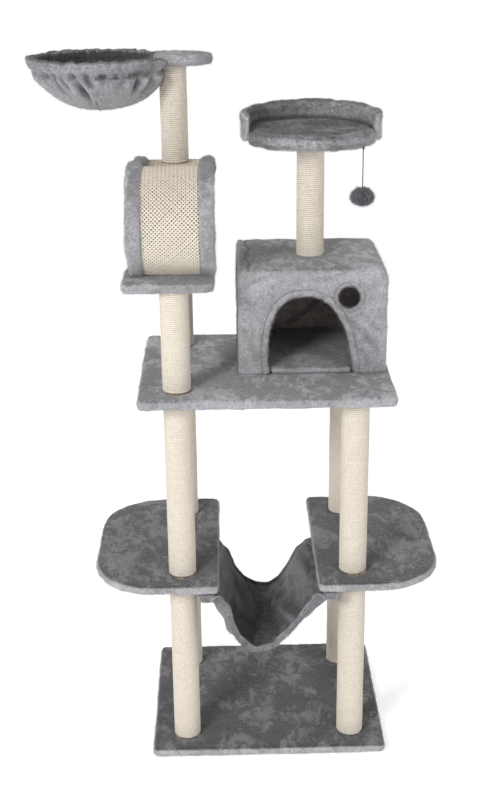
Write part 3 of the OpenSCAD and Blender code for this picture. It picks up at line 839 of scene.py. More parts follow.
def crease(points, a, b, width, depth, bow=0.0):
    """Depth of a fold between two (x, z) points, bowed sideways, fading at its ends."""
    a, b = np.asarray(a), np.asarray(b)
    d = b - a
    t = ((points[:, [0, 2]] - a) @ d) / (d @ d)
    side = ((points[:, [0, 2]] - a) @ np.array([-d[1], d[0]])) / np.linalg.norm(d)
    side = side - bow * np.sin(np.clip(t, 0, 1) * math.pi)
    fade = step(-0.12, 0.15, t) * (1 - step(0.8, 1.12, t))
    dip = np.exp(-(side / width) ** 2) - 0.55 * np.exp(-((side - 1.9 * width) / width) ** 2)
    return depth * fade * dip


def make_house():
    """The plush skin with its door, window, seams, creases and lining, and its stitches."""
    x0, x1, y0, y1, z0, z1 = place("house_cover")
    wall, corner_r = 0.0135, 0.013
    shell = box_piece("house_shell", x0, x1, y0, y1, z0, z1)
    edit_mesh(shell, lambda mesh: round_edges(mesh, [
        e for e in mesh.edges if min(v.co.z for v in e.verts) > z0 + 0.01
        or abs(e.verts[0].co.z - e.verts[1].co.z) > 0.1], corner_r))
    room = box_piece("room", x0 + wall, x1 - wall, y0 + wall, y1 - wall, z0 - 0.02, z1 - 0.019)
    apply_modifier(shell, "BOOLEAN", operation="DIFFERENCE", object=room, solver="EXACT")
    bpy.data.objects.remove(room)
    arch = door_line()
    cut(shell, [(arch[0][0], z0 - 0.02)] + arch[:] + [(arch[-1][0], z0 - 0.02)],
        y0 - 0.02, y0 + 0.03)
    cut(shell, window_line(0.0275), y0 - 0.02, y0 + 0.03)
    remesh(shell, 0.0042, 2)
    points = points_of(shell)
    normal = normals_of(shell)
    front = (points[:, 1] < y0 + 0.006) & (normal[:, 1] < -0.5)
    seam = door_line(0.016)
    ring = window_line(0.037)
    ring.append(ring[0])
    push = 0.0016 * noise3(points, 0.055, 3) + 0.0010 * noise3(points, 0.02, 4)
    push += 0.0005 * noise3(points, 0.0075, 5)
    door_away, ring_away = away_from(points, seam), away_from(points, ring)
    groove = 0.0016 * (np.exp(-(door_away / 0.0035) ** 2) + np.exp(-(ring_away / 0.0035) ** 2))
    lips = 0.0007 * (np.exp(-((door_away - 0.008) / 0.004) ** 2)
                     + np.exp(-((ring_away - 0.007) / 0.0035) ** 2))
    folds = (crease(points, (0.183, 1.137), (0.283, 1.028), 0.0065, 0.0036, 0.006)
             + crease(points, (0.226, 1.150), (0.289, 1.086), 0.006, 0.0024, -0.004)
             + crease(points, (0.205, 1.075), (0.262, 0.995), 0.007, 0.0022, 0.004)
             + crease(points, (0.238, 1.095), (0.292, 1.045), 0.005, 0.0022, -0.003)
             + crease(points, (-0.03, 1.16), (0.03, 1.205), 0.008, 0.0016, 0.004)
             + crease(points, (-0.055, 1.205), (0.02, 1.238), 0.006, 0.0022, 0.003)
             + crease(points, (-0.058, 1.12), (-0.018, 1.02), 0.006, 0.0018, 0.002)
             + crease(points, (0.1, 1.215), (0.185, 1.238), 0.007, 0.0018, 0.0))
    push += front * (lips - groove - folds)
    roof = (points[:, 2] > z1 - 0.004) & (normal[:, 2] > 0.5)
    wavy = points[:, 0] + 0.041 + 0.004 * np.sin(points[:, 1] * 38) + 0.002 * np.sin(
        points[:, 1] * 91)
    push -= roof * 0.0035 * np.exp(-(wavy / 0.004) ** 2)
    push += roof * 0.0018 * np.exp(-((wavy + 0.009) / 0.006) ** 2)
    bulge = np.exp(-((points[:, 0] - x1 + 0.03) / 0.04) ** 2
                   - ((points[:, 2] - z1 + 0.03) / 0.04) ** 2)
    push += 0.003 * bulge * (points[:, 1] < y0 + 0.05)
    back = (points[:, 1] > y1 - 0.02) & (normal[:, 1] < -0.5)
    back_fold = crease(points, (0.17, 1.11), (0.06, 1.02), 0.007, 0.0045, 0.008)
    push -= back * back_fold
    points = points + normal * push[:, None]
    over = np.stack([points[:, 0] - (x1 - 0.034), points[:, 2] - (z1 - 0.034)], 1)
    far = np.linalg.norm(over, axis=1)
    corner = (over.min(axis=1) > 0) & (far > 0.0345)
    scale = np.where(corner, (0.0345 + (far - 0.0345) * 0.25) / np.maximum(far, 1e-6), 1)
    points[:, 0] = np.where(corner, x1 - 0.034 + over[:, 0] * scale, points[:, 0])
    points[:, 2] = np.where(corner, z1 - 0.034 + over[:, 1] * scale, points[:, 2])
    put_points(shell, points)
    # Painted shade in the creases, in the seam grooves round the door and window, in the roof seam,
    # along the foot and in the inner back crease; the last noise term adds random nap tone on the
    # front.
    shade_and_nap_tone = front * (np.clip(folds / 0.003, 0, 1) * 0.38
                      + 0.22 * np.exp(-(door_away / 0.0028) ** 2)
                      + 0.22 * np.exp(-(ring_away / 0.0028) ** 2))
    shade_and_nap_tone += roof * 0.9 * np.exp(-(wavy / 0.0035) ** 2)
    shade_and_nap_tone += 0.5 * (points[:, 2] < z0 + 0.004)
    shade_and_nap_tone += back * 0.5 * np.clip(back_fold / 0.003, 0, 1)
    shade_and_nap_tone += 0.22 * front * np.clip(noise3(points * (1, 1, 0.6), 0.035, 14)
                                     + 0.6 * noise3(points, 0.014, 15), 0, 1)
    paint_shade(shell, shade_and_nap_tone)

    def edges(centre, normal):
        flat = (centre[:, 1] < y0 + 0.02)
        rim = (away_from(centre, arch) < 0.007) | (away_from(centre, window_line(0.0275)) < 0.006)
        return upright_rims(centre, normal) + 14 * (flat & rim)

    pile(shell, 24000, 61, 0.0055, 0.0007, edges)
    shell.name = shell.data.name = "house_plush"
    nodes = ["house_cover", "house_front", "house_back", "house_left", "house_right",
             "house_roof"]
    finish_piece(shell, PLUSH, nodes)
    shell.data.materials.append(LINING)
    centre, normal, _ = face_centres(shell)
    middle = np.array([(x0 + x1) / 2, (y0 + y1) / 2, (z0 + z1) / 2])
    half = np.array([(x1 - x0) / 2 - 0.0075, (y1 - y0) / 2 - 0.0075, (z1 - z0) / 2])
    inside = (np.abs(centre - middle) < half).all(axis=1) & (centre[:, 2] < z1 - 0.012)
    shell.data.polygons.foreach_set("material_index", inside.astype(np.int32))

    build = Build()
    for line, count in ((seam, 132), (ring, 56)):
        line = np.asarray(line)
        gaps = runs(line)
        for s in np.linspace(0.002, gaps[-1] - 0.002, count):
            ends = [s - 0.0013, s - 0.0007, s, s + 0.0007, s + 0.0013]
            path = np.stack([np.interp(ends, gaps, line[:, 0]), np.full(5, y0 + 0.0006),
                             np.interp(ends, gaps, line[:, 1])], 1)
            path[:, 1] -= np.array([0, 0.0007, 0.001, 0.0007, 0])
            build.grid(tube(path, [0.0003, 0.00045, 0.0005, 0.00045, 0.0003], 6),
                       closed=True, caps=True)
    stitches = build.make("house_stitches")
    finish_piece(stitches, THREAD)


def make_house_floor():
    """The padded floor, its rear edge raised, with a tongue that fills the doorway's foot."""
    x0, x1, y0, y1, z0, z1 = place("house_floor")
    outline = [(x0, -0.066), (0.0155, -0.066), (0.0155, y0 + 0.001), (0.2085, y0 + 0.001),
               (0.2085, -0.066), (x1, -0.066), (x1, y1), (x0, y1)]
    pad = soft_slab("house_floor_pad", outline, z0, z1, 0.005, 0.0038)
    points = points_of(pad)
    high = step(z0 + 0.004, z1, points[:, 2])
    swell = 0.008 * step(0.03, y1, points[:, 1]) + 0.002 * noise3(points, 0.06, 8)
    swell += 0.0012 * noise3(points, 0.02, 9)
    points[:, 2] += high * swell
    put_points(pad, points)
    # Painted shade: the floor is darker the deeper it lies inside the house, unevenly by noise.
    paint_shade(pad, (points[:, 1] > y0 + 0.003) * (0.30 + 0.75 * step(-0.06, 0.16, points[:, 1])
                                                   + 0.16 * noise3(points, 0.035, 10)))
    pile(pad, 7000, 63, weight=lambda c, n: 1.0 * (n[:, 2] > -0.3) + 3 * (c[:, 1] < -0.06))
    finish_piece(pad, PLUSH, ["house_floor"])


# ---- Bed ---------------------------------------------------------------------------------
BED = (0.116, 0.065)
BED_WALL = (-21.0, 201.0)


def round_bed(points):
    """Each point's distance from the bed's axis, and its angle in degrees."""
    x, y = points[:, 0] - BED[0], points[:, 1] - BED[1]
    return np.hypot(x, y), np.degrees(np.arctan2(y, x))


def make_bed():
    _, _, _, _, z0, z1 = place("bed_cover")
    outline = []
    for i in range(180):
        a = 2 * i
        front = float(step(197, 202, a) * (1 - step(338, 343, a)))
        reach = 0.1497 + 0.0148 * front
        outline.append((BED[0] + reach * math.cos(math.radians(a)),
                        BED[1] + reach * math.sin(math.radians(a))))
    seat = soft_slab("bed_seat", outline, z0, z1, 0.009, 0.0034)
    puff(seat, 0.002, 3.0)
    points = points_of(seat)
    reach, turn = round_bed(points)
    turn = turn % 360
    front = step(198, 212, turn) * (1 - step(328, 342, turn))
    high = step(z0 + 0.012, z1, points[:, 2])
    low = 1 - step(z0, z0 + 0.010, points[:, 2])
    swirl = np.stack([reach, turn / 360 * 0.5, points[:, 2] * 0], 1)
    points[:, 2] += high * (0.0022 * np.exp(-((reach - 0.149) / 0.014) ** 2) * front
                            - 0.001 * np.exp(-(reach / 0.10) ** 2)
                            + 0.0012 * noise3(swirl, 0.012, 4) + 0.0014 * noise3(points, 0.03, 5))
    ragged = 0.5 + 0.5 * noise3(points, 0.016, 6)
    points[:, 2] -= low * front * (reach > 0.14) * (0.0045 * ragged)
    out = front * step(0.14, 0.155, reach) * (0.0016 * noise3(points, 0.02, 7) + 0.0007)
    points[:, 0] += out * np.cos(np.radians(turn))
    points[:, 1] += out * np.sin(np.radians(turn))
    put_points(seat, points)

    def tufts(centre, normal):
        away, _ = round_bed(centre)
        low_rim = (away > 0.146) * (centre[:, 1] < 0.03) * (centre[:, 2] < z0 + 0.008)
        return 0.1 + 1.2 * (normal[:, 2] > 0.3) + 3 * (away > 0.148) * (centre[:, 1] < 0) \
            + 5 * low_rim * (noise3(centre, 0.022, 9) > -0.1)

    # Painted shade on the seat's top inside the wall, uneven by noise and kept off the front roll.
    uneven_seat_shade = 0.60 + 0.50 * noise3(points, 0.020, 12)
    paint_shade(seat, uneven_seat_shade * (reach < 0.150) * (points[:, 2] > z0 + 0.018) * (
        1 - front * step(0.136, 0.150, reach)))
    pile(seat, 18000, 65, 0.0062, 0.0008, tufts, (0.25, -0.5, -0.75))
    finish_piece(seat, BED_PLUSH, ["bed_cover"])

    _, _, _, _, z0, z1 = place("bed_wall")
    section = []
    body, roll, top = 0.0068, 0.0078, z1 - 0.0078
    for x, z in ([(body, z0), (body, z0 + 0.02), (body, z0 + 0.036), (body + 0.001, top - 0.008)]
                 + [(roll * math.cos(a), top + roll * math.sin(a))
                    for a in np.linspace(-0.5, math.pi + 0.5, 13)]
                 + [(-body - 0.001, top - 0.008), (-body, z0 + 0.036), (-body, z0 + 0.02),
                    (-body, z0)]):
        section.append((0.158 + x, z))
    section = np.asarray(section)
    turns = np.radians(np.linspace(*BED_WALL, 120))
    middle = section.mean(axis=0)
    rows = []
    for i, a in enumerate(turns):
        near = min(i, len(turns) - 1 - i) / 5
        shrink = math.sqrt(max(0.0, 1 - max(0.0, 1 - near) ** 2)) * 0.75 + 0.25
        ring = middle + (section - middle) * (shrink, 0.35 + 0.65 * shrink)
        rows.append(np.stack([BED[0] + ring[:, 0] * math.cos(a),
                              BED[1] + ring[:, 0] * math.sin(a), ring[:, 1]], 1))
    build = Build()
    build.grid(np.stack(rows), closed=True, caps=True)
    wall = build.make("bed_wall_padded")
    remesh(wall, 0.0034, 1)
    puff(wall, 0.0028)
    points, normal = points_of(wall), normals_of(wall)
    turn = (round_bed(points)[1] + 90) % 360 - 90
    push = 0.0017 * noise3(points, 0.035, 11) + 0.0008 * noise3(points, 0.012, 12)
    for spot, depth in ((22, 0.8), (58, 1), (95, 0.9), (131, 1), (168, 0.8), (195, 1.2), (-14, 1.3)):
        fold = np.exp(-((turn - spot - 60 * (points[:, 2] - z0)) / 2.2) ** 2)
        push -= 0.0016 * depth * fold * step(z0 + 0.004, z0 + 0.03, points[:, 2])
    ends = np.exp(-((turn + 19) / 5) ** 2) + 0.6 * np.exp(-((turn - 199) / 5) ** 2)
    push += 0.0022 * ends * noise3(points, 0.014, 13)
    points = points + normal * push[:, None]
    points[:, 2] += 0.006 * step(z0 + 0.03, z1, points[:, 2]) * step(20, 90, 90 - np.abs(
        turn - 90) * 0.8)
    put_points(wall, points)
    inside = round_bed(points)[0] < 0.155
    # Painted shade on the wall's inner face: darkest along its foot, and darker from the back-left
    # round to its left end.
    paint_shade(wall, 0.75 * (1 - step(z0 + 0.024, z0 + 0.040, points[:, 2])) * inside
               + (0.18 + 0.46 * step(60, 135, turn)) * inside)
    pile(wall, 15000, 66, 0.005, 0.0006,
         lambda c, n: 0.6 + 1.6 * (c[:, 2] > z1 - 0.02) + 0.8 * (n[:, 1] < -0.3))
    finish_piece(wall, BED_PLUSH, ["bed_wall"])


# ---- Scratching arch ---------------------------------------------------------------------
ARCH_X = (-0.311, -0.121)
ARCH_AXIS = (-0.078, 1.370)
TRIM_W = 0.030


def arch_line(depth, spacing):
    """Evenly spaced (y, z) points of the arch at a depth under its face, and their normals."""
    cy, cz = ARCH_AXIS
    radius, foot, flat, end = 0.128, 1.259, 1.465, 0.205
    slope = math.radians(10.6)
    r = radius - depth
    low = (cy + r * math.cos(math.radians(225)), cz + r * math.sin(math.radians(225)))
    line = [(low[0] + low[1] - foot, foot)]
    line += arc(cy, cz, r, 225, 79.4, 90)
    high = line[-1]
    line += [(high[0] + (high[1] - flat + depth) / math.tan(slope), flat - depth),
             (end, flat - depth)]
    line = np.asarray(line)
    gaps = runs(line)
    s = np.linspace(0, gaps[-1], max(2, round(gaps[-1] / spacing)) + 1)
    points = np.stack([np.interp(s, gaps, line[:, 0]), np.interp(s, gaps, line[:, 1])], 1)
    along = np.gradient(points, axis=0)
    along /= np.linalg.norm(along, axis=1, keepdims=True)
    return points, np.stack([-along[:, 1], along[:, 0]], 1)


def make_weave():
    """The sisal mat: a dark backing and two families of strands that pass over and under."""
    points, normal = arch_line(0.0035, 0.001)
    length = 0.001 * (len(points) - 1)
    left, right = ARCH_X[0] + TRIM_W - 0.002, ARCH_X[1] - TRIM_W + 0.002
    width = right - left
    pitch = 0.0092
    random = np.random.default_rng(7)
    build = Build()

    def on_mat(across, along, lift):
        at = np.clip(along / 0.001, 0, len(points) - 1.001)
        i = at.astype(int)
        t = (at - i)[:, None]
        spot = points[i] * (1 - t) + points[i + 1] * t
        out = normal[i]
        side = spot + out * lift[:, None]
        return np.stack([left + across, side[:, 0], side[:, 1]], 1)

    for family in (1, -1):
        for k in range(-int(width / pitch) - 1, int(length / pitch) + 2):
            across = np.arange(0, width + 1e-9, pitch / 4)
            along = k * pitch + (across if family > 0 else width - across)
            keep = (along > 0.001) & (along < length - 0.001)
            if keep.sum() < 4:
                continue
            across, along = across[keep], along[keep]
            other = (along + family * across) / pitch if family < 0 else (along + across) / pitch
            beat = np.cos(math.pi * (other - (0 if family > 0 else 1) - k))
            drift = 0.0005 * random.normal()
            path = on_mat(across + drift, along, 0.0003 + 0.0008 * beat)
            build.grid(tube(path, 0.00188 * random.uniform(0.88, 1.10), 6), closed=True,
                       caps=True)
    count = 2600
    roots = on_mat(random.uniform(0, width, count), random.uniform(0.002, length - 0.002, count),
                   np.full(count, 0.0016))
    tips = roots + random.normal(0, 0.0022, (count, 3))
    build.fibres(roots, tips, 0.00025)
    weave = build.make("arch_weave")
    finish_piece(weave, WEAVE, ["arch_mat"])
    under, _ = arch_line(0.0044, 0.004)
    lower, _ = arch_line(0.0050, 0.004)
    n = min(len(under), len(lower))
    rows = [[(x, y, z) for x, (y, z) in ((left, a), (right, a), (right, b), (left, b))]
            for a, b in zip(under[:n], lower[:n])]
    backing = Build()
    backing.grid(np.asarray(rows), closed=True, caps=True)
    finish_piece(backing.make("arch_mat_backing"), BACKING)


def make_trims():
    """A stuffed plush edging along each side of the arch."""
    for name, edge, inward, seed in (("arch_left_trim", ARCH_X[0], 1, 21),
                                     ("arch_right_trim", ARCH_X[1], -1, 22)):
        line, out = arch_line(0.009, 0.004)
        centre, half_w, half_t, corner = edge + inward * 0.012, 0.0175, 0.0150, 0.010
        ring = round_box_outline(-half_w, half_w, -half_t, half_t, corner, 4)
        rows = []
        for i, ((y, z), (ny, nz)) in enumerate(zip(line, out)):
            near = min(i, len(line) - 1 - i) / 3
            shrink = math.sqrt(max(0.0, 1 - max(0.0, 1 - near) ** 2)) * 0.5 + 0.5
            rows.append([(centre + a * shrink, y + ny * b * shrink, z + nz * b * shrink)
                         for a, b in ring])
        build = Build()
        build.grid(np.asarray(rows), closed=True, caps=True)
        trim = build.make(name + "_padded")
        remesh(trim, 0.0036, 1)
        puff(trim, 0.002)
        points, normal = points_of(trim), normals_of(trim)
        push = 0.0018 * noise3(points, 0.03, seed) + 0.0009 * noise3(points, 0.011, seed + 1)
        y, z = points[:, 1] - ARCH_AXIS[0], points[:, 2] - ARCH_AXIS[1]
        turn, height = np.degrees(np.arctan2(z, y)), np.hypot(z, y)
        lump = 0.0030 * (1 - step(80, 112, turn)) * (turn > -10) * (height > 0.12)
        points = points + normal * push[:, None]
        points[:, 2] = np.clip(points[:, 2] + lump, 1.2585, None)
        put_points(trim, points)
        pile(trim, 9000, seed, 0.0042, 0.0006)
        finish_piece(trim, PLUSH, [name])


# ---- Basket ------------------------------------------------------------------------------
BASKET = (-0.394, 0.172, 1.712)


def make_basket():
    """Two layers of cloth gathered over a wire ring, from the inner floor over the rim and
    down to the outer bottom, kept off the post and its plate."""
    cx, cy, top = BASKET
    n_turn, n_side = 400, 66
    turn = full_turn(n_turn)
    t = np.linspace(0, math.pi / 2, n_side) ** 0.92 * (math.pi / 2) ** 0.08
    reach = np.concatenate([0.1560 * np.sin(t) ** 0.8, [0.1525, 0.1520, 0.1550, 0.1605, 0.1650,
                                                        0.1672, 0.1672, 0.1655],
                            (0.1655 * np.sin(t[:-1]) ** 0.8)[::-1]])
    height = np.concatenate([-0.1135 * np.cos(t) ** 0.9 - 0.016 * np.sin(t) ** 8,
                             [-0.002, 0.0045, 0.0085, 0.0095, 0.0075, 0.0025, -0.006, -0.012],
                             (-0.1155 * np.cos(t[:-1]) ** 0.9 - 0.018 * np.sin(t[:-1]) ** 8)[::-1]])
    inner = np.arange(len(reach)) < n_side + 3
    rim = np.exp(-((height - 0.002) / 0.012) ** 2) * (reach > 0.14)
    r = np.repeat(reach[:, None], n_turn, 1)
    z = np.repeat(height[:, None], n_turn, 1)
    a = np.repeat(turn[None], len(reach), 0)
    deg = (np.degrees(a) + 180) % 360 - 180
    flat = np.stack([np.cos(a), np.sin(a), z * 4], -1).reshape(-1, 3)
    broad = noise3(flat, 0.42, 31).reshape(r.shape)
    fine = noise3(flat * (1, 1, 0.5), 0.13, 32).reshape(r.shape)
    pleat = noise3(flat * (1, 1, 0.18), 0.07, 33).reshape(r.shape)
    outside = ~inner[:, None]
    low = np.clip(r / 0.12, 0, 1) ** 2
    r = r + low * (0.0045 * broad + 0.0022 * fine)
    z = z + (0.0016 * fine + 0.0026 * pleat) * rim[:, None]
    r = r + 0.0062 * (0.45 + pleat) * rim[:, None] * outside
    z = z + 0.0046 * noise3(flat * (1, 1, 0.1), 0.055, 35).reshape(r.shape) * rim[:, None]
    tuck = np.exp(-((z + 0.023) / 0.0055) ** 2) * outside * (0.7 + 0.5 * pleat)
    r = r - 0.0125 * tuck * low
    folds = ((-106, -0.058, 0.032, 3.6, 1.25), (-46, -0.044, 0.022, 3.2, 1.2),
             (-95, -0.034, 0.014, 4.2, 0.8), (-118, -0.040, 0.016, 2.6, 0.6),
             (-127, -0.046, 0.026, 2.8, 0.8), (-139, -0.040, 0.018, 2.2, 0.9),
             (-152, -0.048, 0.026, 3.0, 0.6), (-78, -0.036, 0.010, 3.4, 0.4),
             (-62, -0.038, 0.012, 3.0, 0.4), (-31, -0.052, 0.028, 2.8, 0.8),
             (-99, -0.090, 0.018, 3.8, 0.6), (60, -0.05, 0.03, 4.0, 0.8),
             (100, -0.045, 0.03, 5.0, 0.7), (140, -0.05, 0.03, 4.0, 0.9),
             (-170, -0.05, 0.03, 4.0, 0.6), (170, -0.045, 0.02, 3.0, 0.5))
    # Painted shade: the tuck under the rim and each fold on the outside are marked darker.
    dark = 0.55 * tuck
    for at, mid, tall, wide, depth in folds:
        away = (deg - at - 120 * (z + 0.02) * (1 if at > -95 else -0.6) + 180) % 360 - 180
        dip = np.exp(-(away / wide) ** 2 - ((z - mid) / tall) ** 2)
        lip = np.exp(-((away - 2.1 * wide) / wide) ** 2 - ((z - mid) / tall) ** 2)
        r = r - low * depth * (0.0185 * dip - 0.0070 * lip)
        dark = dark + 0.75 * depth * dip ** 2 * outside
    over = np.exp(-((np.abs(deg) - 26) / 6.0) ** 2) * step(-0.075, -0.02, z)
    r = r + 0.016 * over * outside
    sin_a, cos_a = np.sin(a), np.cos(a)
    post_x, post_y, _, _, post_r = post_place("basket_post_sisal")
    dx, dy = post_x - cx, post_y - cy
    along = dx * cos_a + dy * sin_a
    off = np.abs(dx * sin_a - dy * cos_a)
    room = post_r + 0.0022
    stop = np.where((off < room) & (along > 0), along - np.sqrt(np.maximum(room ** 2 - off ** 2, 0)), 9)
    x0, _, y0, y1, _, _ = place("basket_plate_cover")
    beside = np.abs(sin_a) * r < (y1 - y0) / 2 + 0.0015
    wall = np.where((cos_a > 0) & beside, (x0 - 0.0012 - cx) / np.maximum(cos_a, 1e-6), 9)
    wall = np.where(z > -0.0165, wall, 9)
    r = np.where(inner[:, None] & (z > -0.012), np.minimum(r, 0.1525), r)
    r = np.where(outside & (z < 0.004) & (z > -0.008), np.maximum(r, 0.1640), r)
    layer = np.where(inner[:, None], 0.005, 0.0)
    limit = np.minimum(stop, wall) - layer
    r = np.minimum(r, limit)
    deep = step(0.012, 0.075, -z) * np.clip(r / 0.08, 0, 1)
    shift = 0.014 * deep * np.where(cos_a < 0, 1.0, 0.4)
    points = np.stack([cx + r * cos_a * (1 - 0.070 * deep) + shift, cy + r * sin_a, top + z], -1)
    build = Build()
    build.grid(points, closed=True)
    cloth = build.make("basket_cloth")
    # The whole inside of the bowl gets painted shade too.
    paint_shade(cloth, (dark + 0.95 * (inner[:, None] & (z < 0.005))).ravel())
    edit_mesh(cloth, lambda mesh: bmesh.ops.remove_doubles(mesh, verts=mesh.verts, dist=0.00015))
    edit_mesh(cloth, face_outwards)
    apply_modifier(cloth, "SMOOTH", factor=0.5, iterations=2)
    points, normal = points_of(cloth), normals_of(cloth)
    points += normal * (0.0005 * noise3(points, 0.008, 34))[:, None]
    put_points(cloth, points)
    hairs = pile(cloth, 15000, 71, 0.0042, 0.0006, apart=CLOTH,
                 weight=lambda c, n: 0.7 + 3 * (c[:, 2] > top - 0.012) + 0.6 * (n[:, 1] < 0))
    finish_piece(cloth, CLOTH, ["basket_bag"])


# ---- Hammock -----------------------------------------------------------------------------
# Side views of the sheet in millimetres: round the left batten, down, up, round the right one
SLEEVE = ((-170, 475), (-171, 462), (-168, 456), (-146, 455), (-137, 461), (-130, 474))
FRONT_FALL = ((-118, 476), (-110, 456), (-92, 393), (-74, 352), (-35, 315), (14, 331),
              (48, 370), (76, 403), (100, 438), (113, 476))
MIDDLE_SLEEVE = ((-170, 475), (-171, 462), (-169, 457), (-166, 456), (-163, 455), (-160, 452))
MIDDLE_FALL = ((-153, 446), (-136, 427), (-119, 390), (-105, 349), (-40, 313), (20, 319),
               (60, 349), (91, 378), (125, 413), (157, 441))
BACK_FALL = ((-122, 474), (-107, 446), (-87, 392), (-63, 358), (-28, 338), (8, 334),
             (42, 357), (70, 402), (92, 450), (112, 474))


def even_line(keys, count):
    """Evenly spaced points through the keys, in metres."""
    keys = np.asarray(keys, float) * MM
    gaps = runs(keys)
    s = np.linspace(0, gaps[-1], count)
    return np.stack([np.interp(s, gaps, keys[:, k]) for k in (0, 1)], 1)


def hammock_side(left, fall):
    """One side view of the sheet: round the left batten, along the fall, round the right one."""
    right = tuple((-x, z) for x, z in reversed(left))
    wraps = [even_line(left + fall[:1], 19)[:-1], even_line(fall, 121),
             even_line(fall[-1:] + right, 19)[1:]]
    line = np.concatenate(wraps)
    for _ in range(6):
        line[1:-1] = (line[:-2] + 2 * line[1:-1] + line[2:]) / 4
    return line


def make_hammock():
    """A soft sheet wrapped round both battens and hanging between the decks, its front edge
    lower and steeper on the left, with a thick turned hem at each open edge."""
    _, _, y0, y1, _, _ = place("hammock_fabric")
    thick = 0.0045
    front = hammock_side(SLEEVE, FRONT_FALL)
    middle = hammock_side(MIDDLE_SLEEVE, MIDDLE_FALL)
    back = hammock_side(SLEEVE, BACK_FALL)
    n = len(front)
    ys = np.linspace(y0 + 0.004, y1 - 0.004, 110)
    part = ((ys - y0) / (y1 - y0))[None, :, None]
    line = middle[:, None] * (1 - step(0.16, 1.0, part)) + back[:, None] * step(0.16, 1.0, part)
    line = front[:, None] * (1 - step(0, 0.17, part)) + line * step(0, 0.17, part)
    along = np.gradient(line, axis=0)
    along /= np.linalg.norm(along, axis=2, keepdims=True)
    normal = np.stack([-along[..., 1], along[..., 0]], -1)
    free = 1 - step(0.440, 0.462, line[..., 1])
    s = np.repeat((np.arange(n) * 0.0031)[:, None], len(ys), 1)
    v = np.repeat(ys[None], n, 0)
    at = np.stack([s, v * 0.35, v * 0], -1).reshape(-1, 3)
    soft = noise3(np.stack([s, v, v * 0], -1).reshape(-1, 3), 0.07, 42).reshape(v.shape)
    inward = np.minimum(v - y0, y1 - v)
    calm = 0.16 + 0.84 * step(0.005, 0.055, inward)
    depth = free * calm * (0.0022 * noise3(at, 0.022, 41).reshape(v.shape) + 0.0036 * soft
                    + 0.0010 * (1 - part[..., 0]) ** 2)
    # Painted shade along one side of each fold.
    dark = 0 * v
    for at_x, slant, end, wide, deep, reach in (
            (-0.098, 0.42, 1, 0.012, 0.0040, 0.20), (-0.075, 0.30, 1, 0.010, 0.0030, 0.16),
            (-0.104, -0.20, 0, 0.008, 0.0060, 0.16), (0.096, -0.34, 0, 0.010, 0.0085, 0.22),
            (0.070, 0.28, 1, 0.012, 0.0035, 0.18), (-0.034, 0.10, 0, 0.007, 0.0080, 0.08),
            (0.030, -0.30, 0, 0.009, 0.0040, 0.16)):
        edge = y1 if end else y0
        away = np.abs(v - edge)
        near = np.exp(-((line[..., 0] - at_x - slant * away) / wide) ** 2)
        fade = (1 - step(0.45 * reach, reach, away)) * free * (0.3 + 0.7 * step(0, 0.035, away))
        depth = depth + deep * near * fade
        dark = dark + 0.35 * np.exp(-((line[..., 0] - at_x - slant * away - 1.5 * wide)
                                      / wide) ** 2) * fade
    upper2 = line + normal * (depth + thick / 2)[..., None]
    lower2 = line + normal * (depth - thick / 2)[..., None]
    upper = np.stack([upper2[..., 0], v, upper2[..., 1]], -1)
    lower = np.stack([lower2[..., 0], v, lower2[..., 1]], -1)
    wave = noise3(np.stack([s[:, 0], 0 * s[:, 0], 0 * s[:, 0]], 1), 0.03, 44)
    hems = []
    for end, y_end, way in ((-1, y1, 1), (0, y0, -1)):
        tall = thick / 2 + (0.0064 + 0.0012 * wave) * free[:, end]
        centre = (upper[:, end] + lower[:, end]) / 2
        rows = []
        for a in np.linspace(-math.pi / 2, math.pi / 2, 11)[1:-1]:
            out = np.stack([normal[:, end, 0], 0 * tall, normal[:, end, 1]], 1)
            row = centre + out * (tall * math.sin(a))[:, None]
            row[:, 1] = y_end - way * 0.0032 * (1 - math.cos(a))
            rows.append(row)
        hems.append(rows)
    loop = [lower[:, j] for j in range(len(ys))] + hems[0]
    loop += [upper[:, j] for j in range(len(ys) - 1, -1, -1)] + hems[1][::-1]
    # Painted shade: the upper face is darkest on the left of the hanging part, lighter to the right and
    # where it wraps the battens, fading at the front edge; the lower face (under) is evenly darker.
    inner = (0.86 - 0.42 * step(-0.02, 0.07, line[..., 0])) * free + 0.3 * (1 - free)
    inner = inner * step(y0 + 0.002, y0 + 0.012, v) + dark
    under = 0.55 * step(y0 + 0.003, y0 + 0.02, v)
    no_mark = [0 * s[:, 0]] * len(hems[0])
    marks = [under[:, j] for j in range(len(ys))] + no_mark
    marks += [inner[:, j] for j in range(len(ys) - 1, -1, -1)] + no_mark
    build = Build()
    build.grid(np.stack(loop, 1), closed=True, caps=True)
    sheet = build.make("hammock_cloth")
    paint_shade(sheet, np.stack(marks, 1).ravel())
    edit_mesh(sheet, face_outwards)
    points, normals = points_of(sheet), normals_of(sheet)
    points += normals * (0.0006 * noise3(points, 0.009, 45))[:, None] \
        * (np.abs(points[:, :1]) < 0.122)
    put_points(sheet, points)
    build = Build()
    for side in (-1, 1):
        for y_end, way in ((y0 + 0.0005, 1), (y1 - 0.0005, -1)):
            outline = np.asarray(round_box_outline(0.133, 0.1715, 0.4545, 0.4765, 0.005, 4))
            rows = []
            for back_by, shrink in ((0, 0.72), (0.0008, 0.92), (0.0022, 1), (0.006, 1)):
                ring = (outline - (0.152, 0.4655)) * shrink + (0.152, 0.4655)
                rows.append(np.stack([side * ring[:, 0], 0 * ring[:, 0] + y_end + way * back_by,
                                      ring[:, 1]], 1))
            build.grid(np.stack(rows), closed=True, caps=True)
    flaps = build.make("hammock_sleeve_ends")
    remesh(flaps, 0.0022, 1)
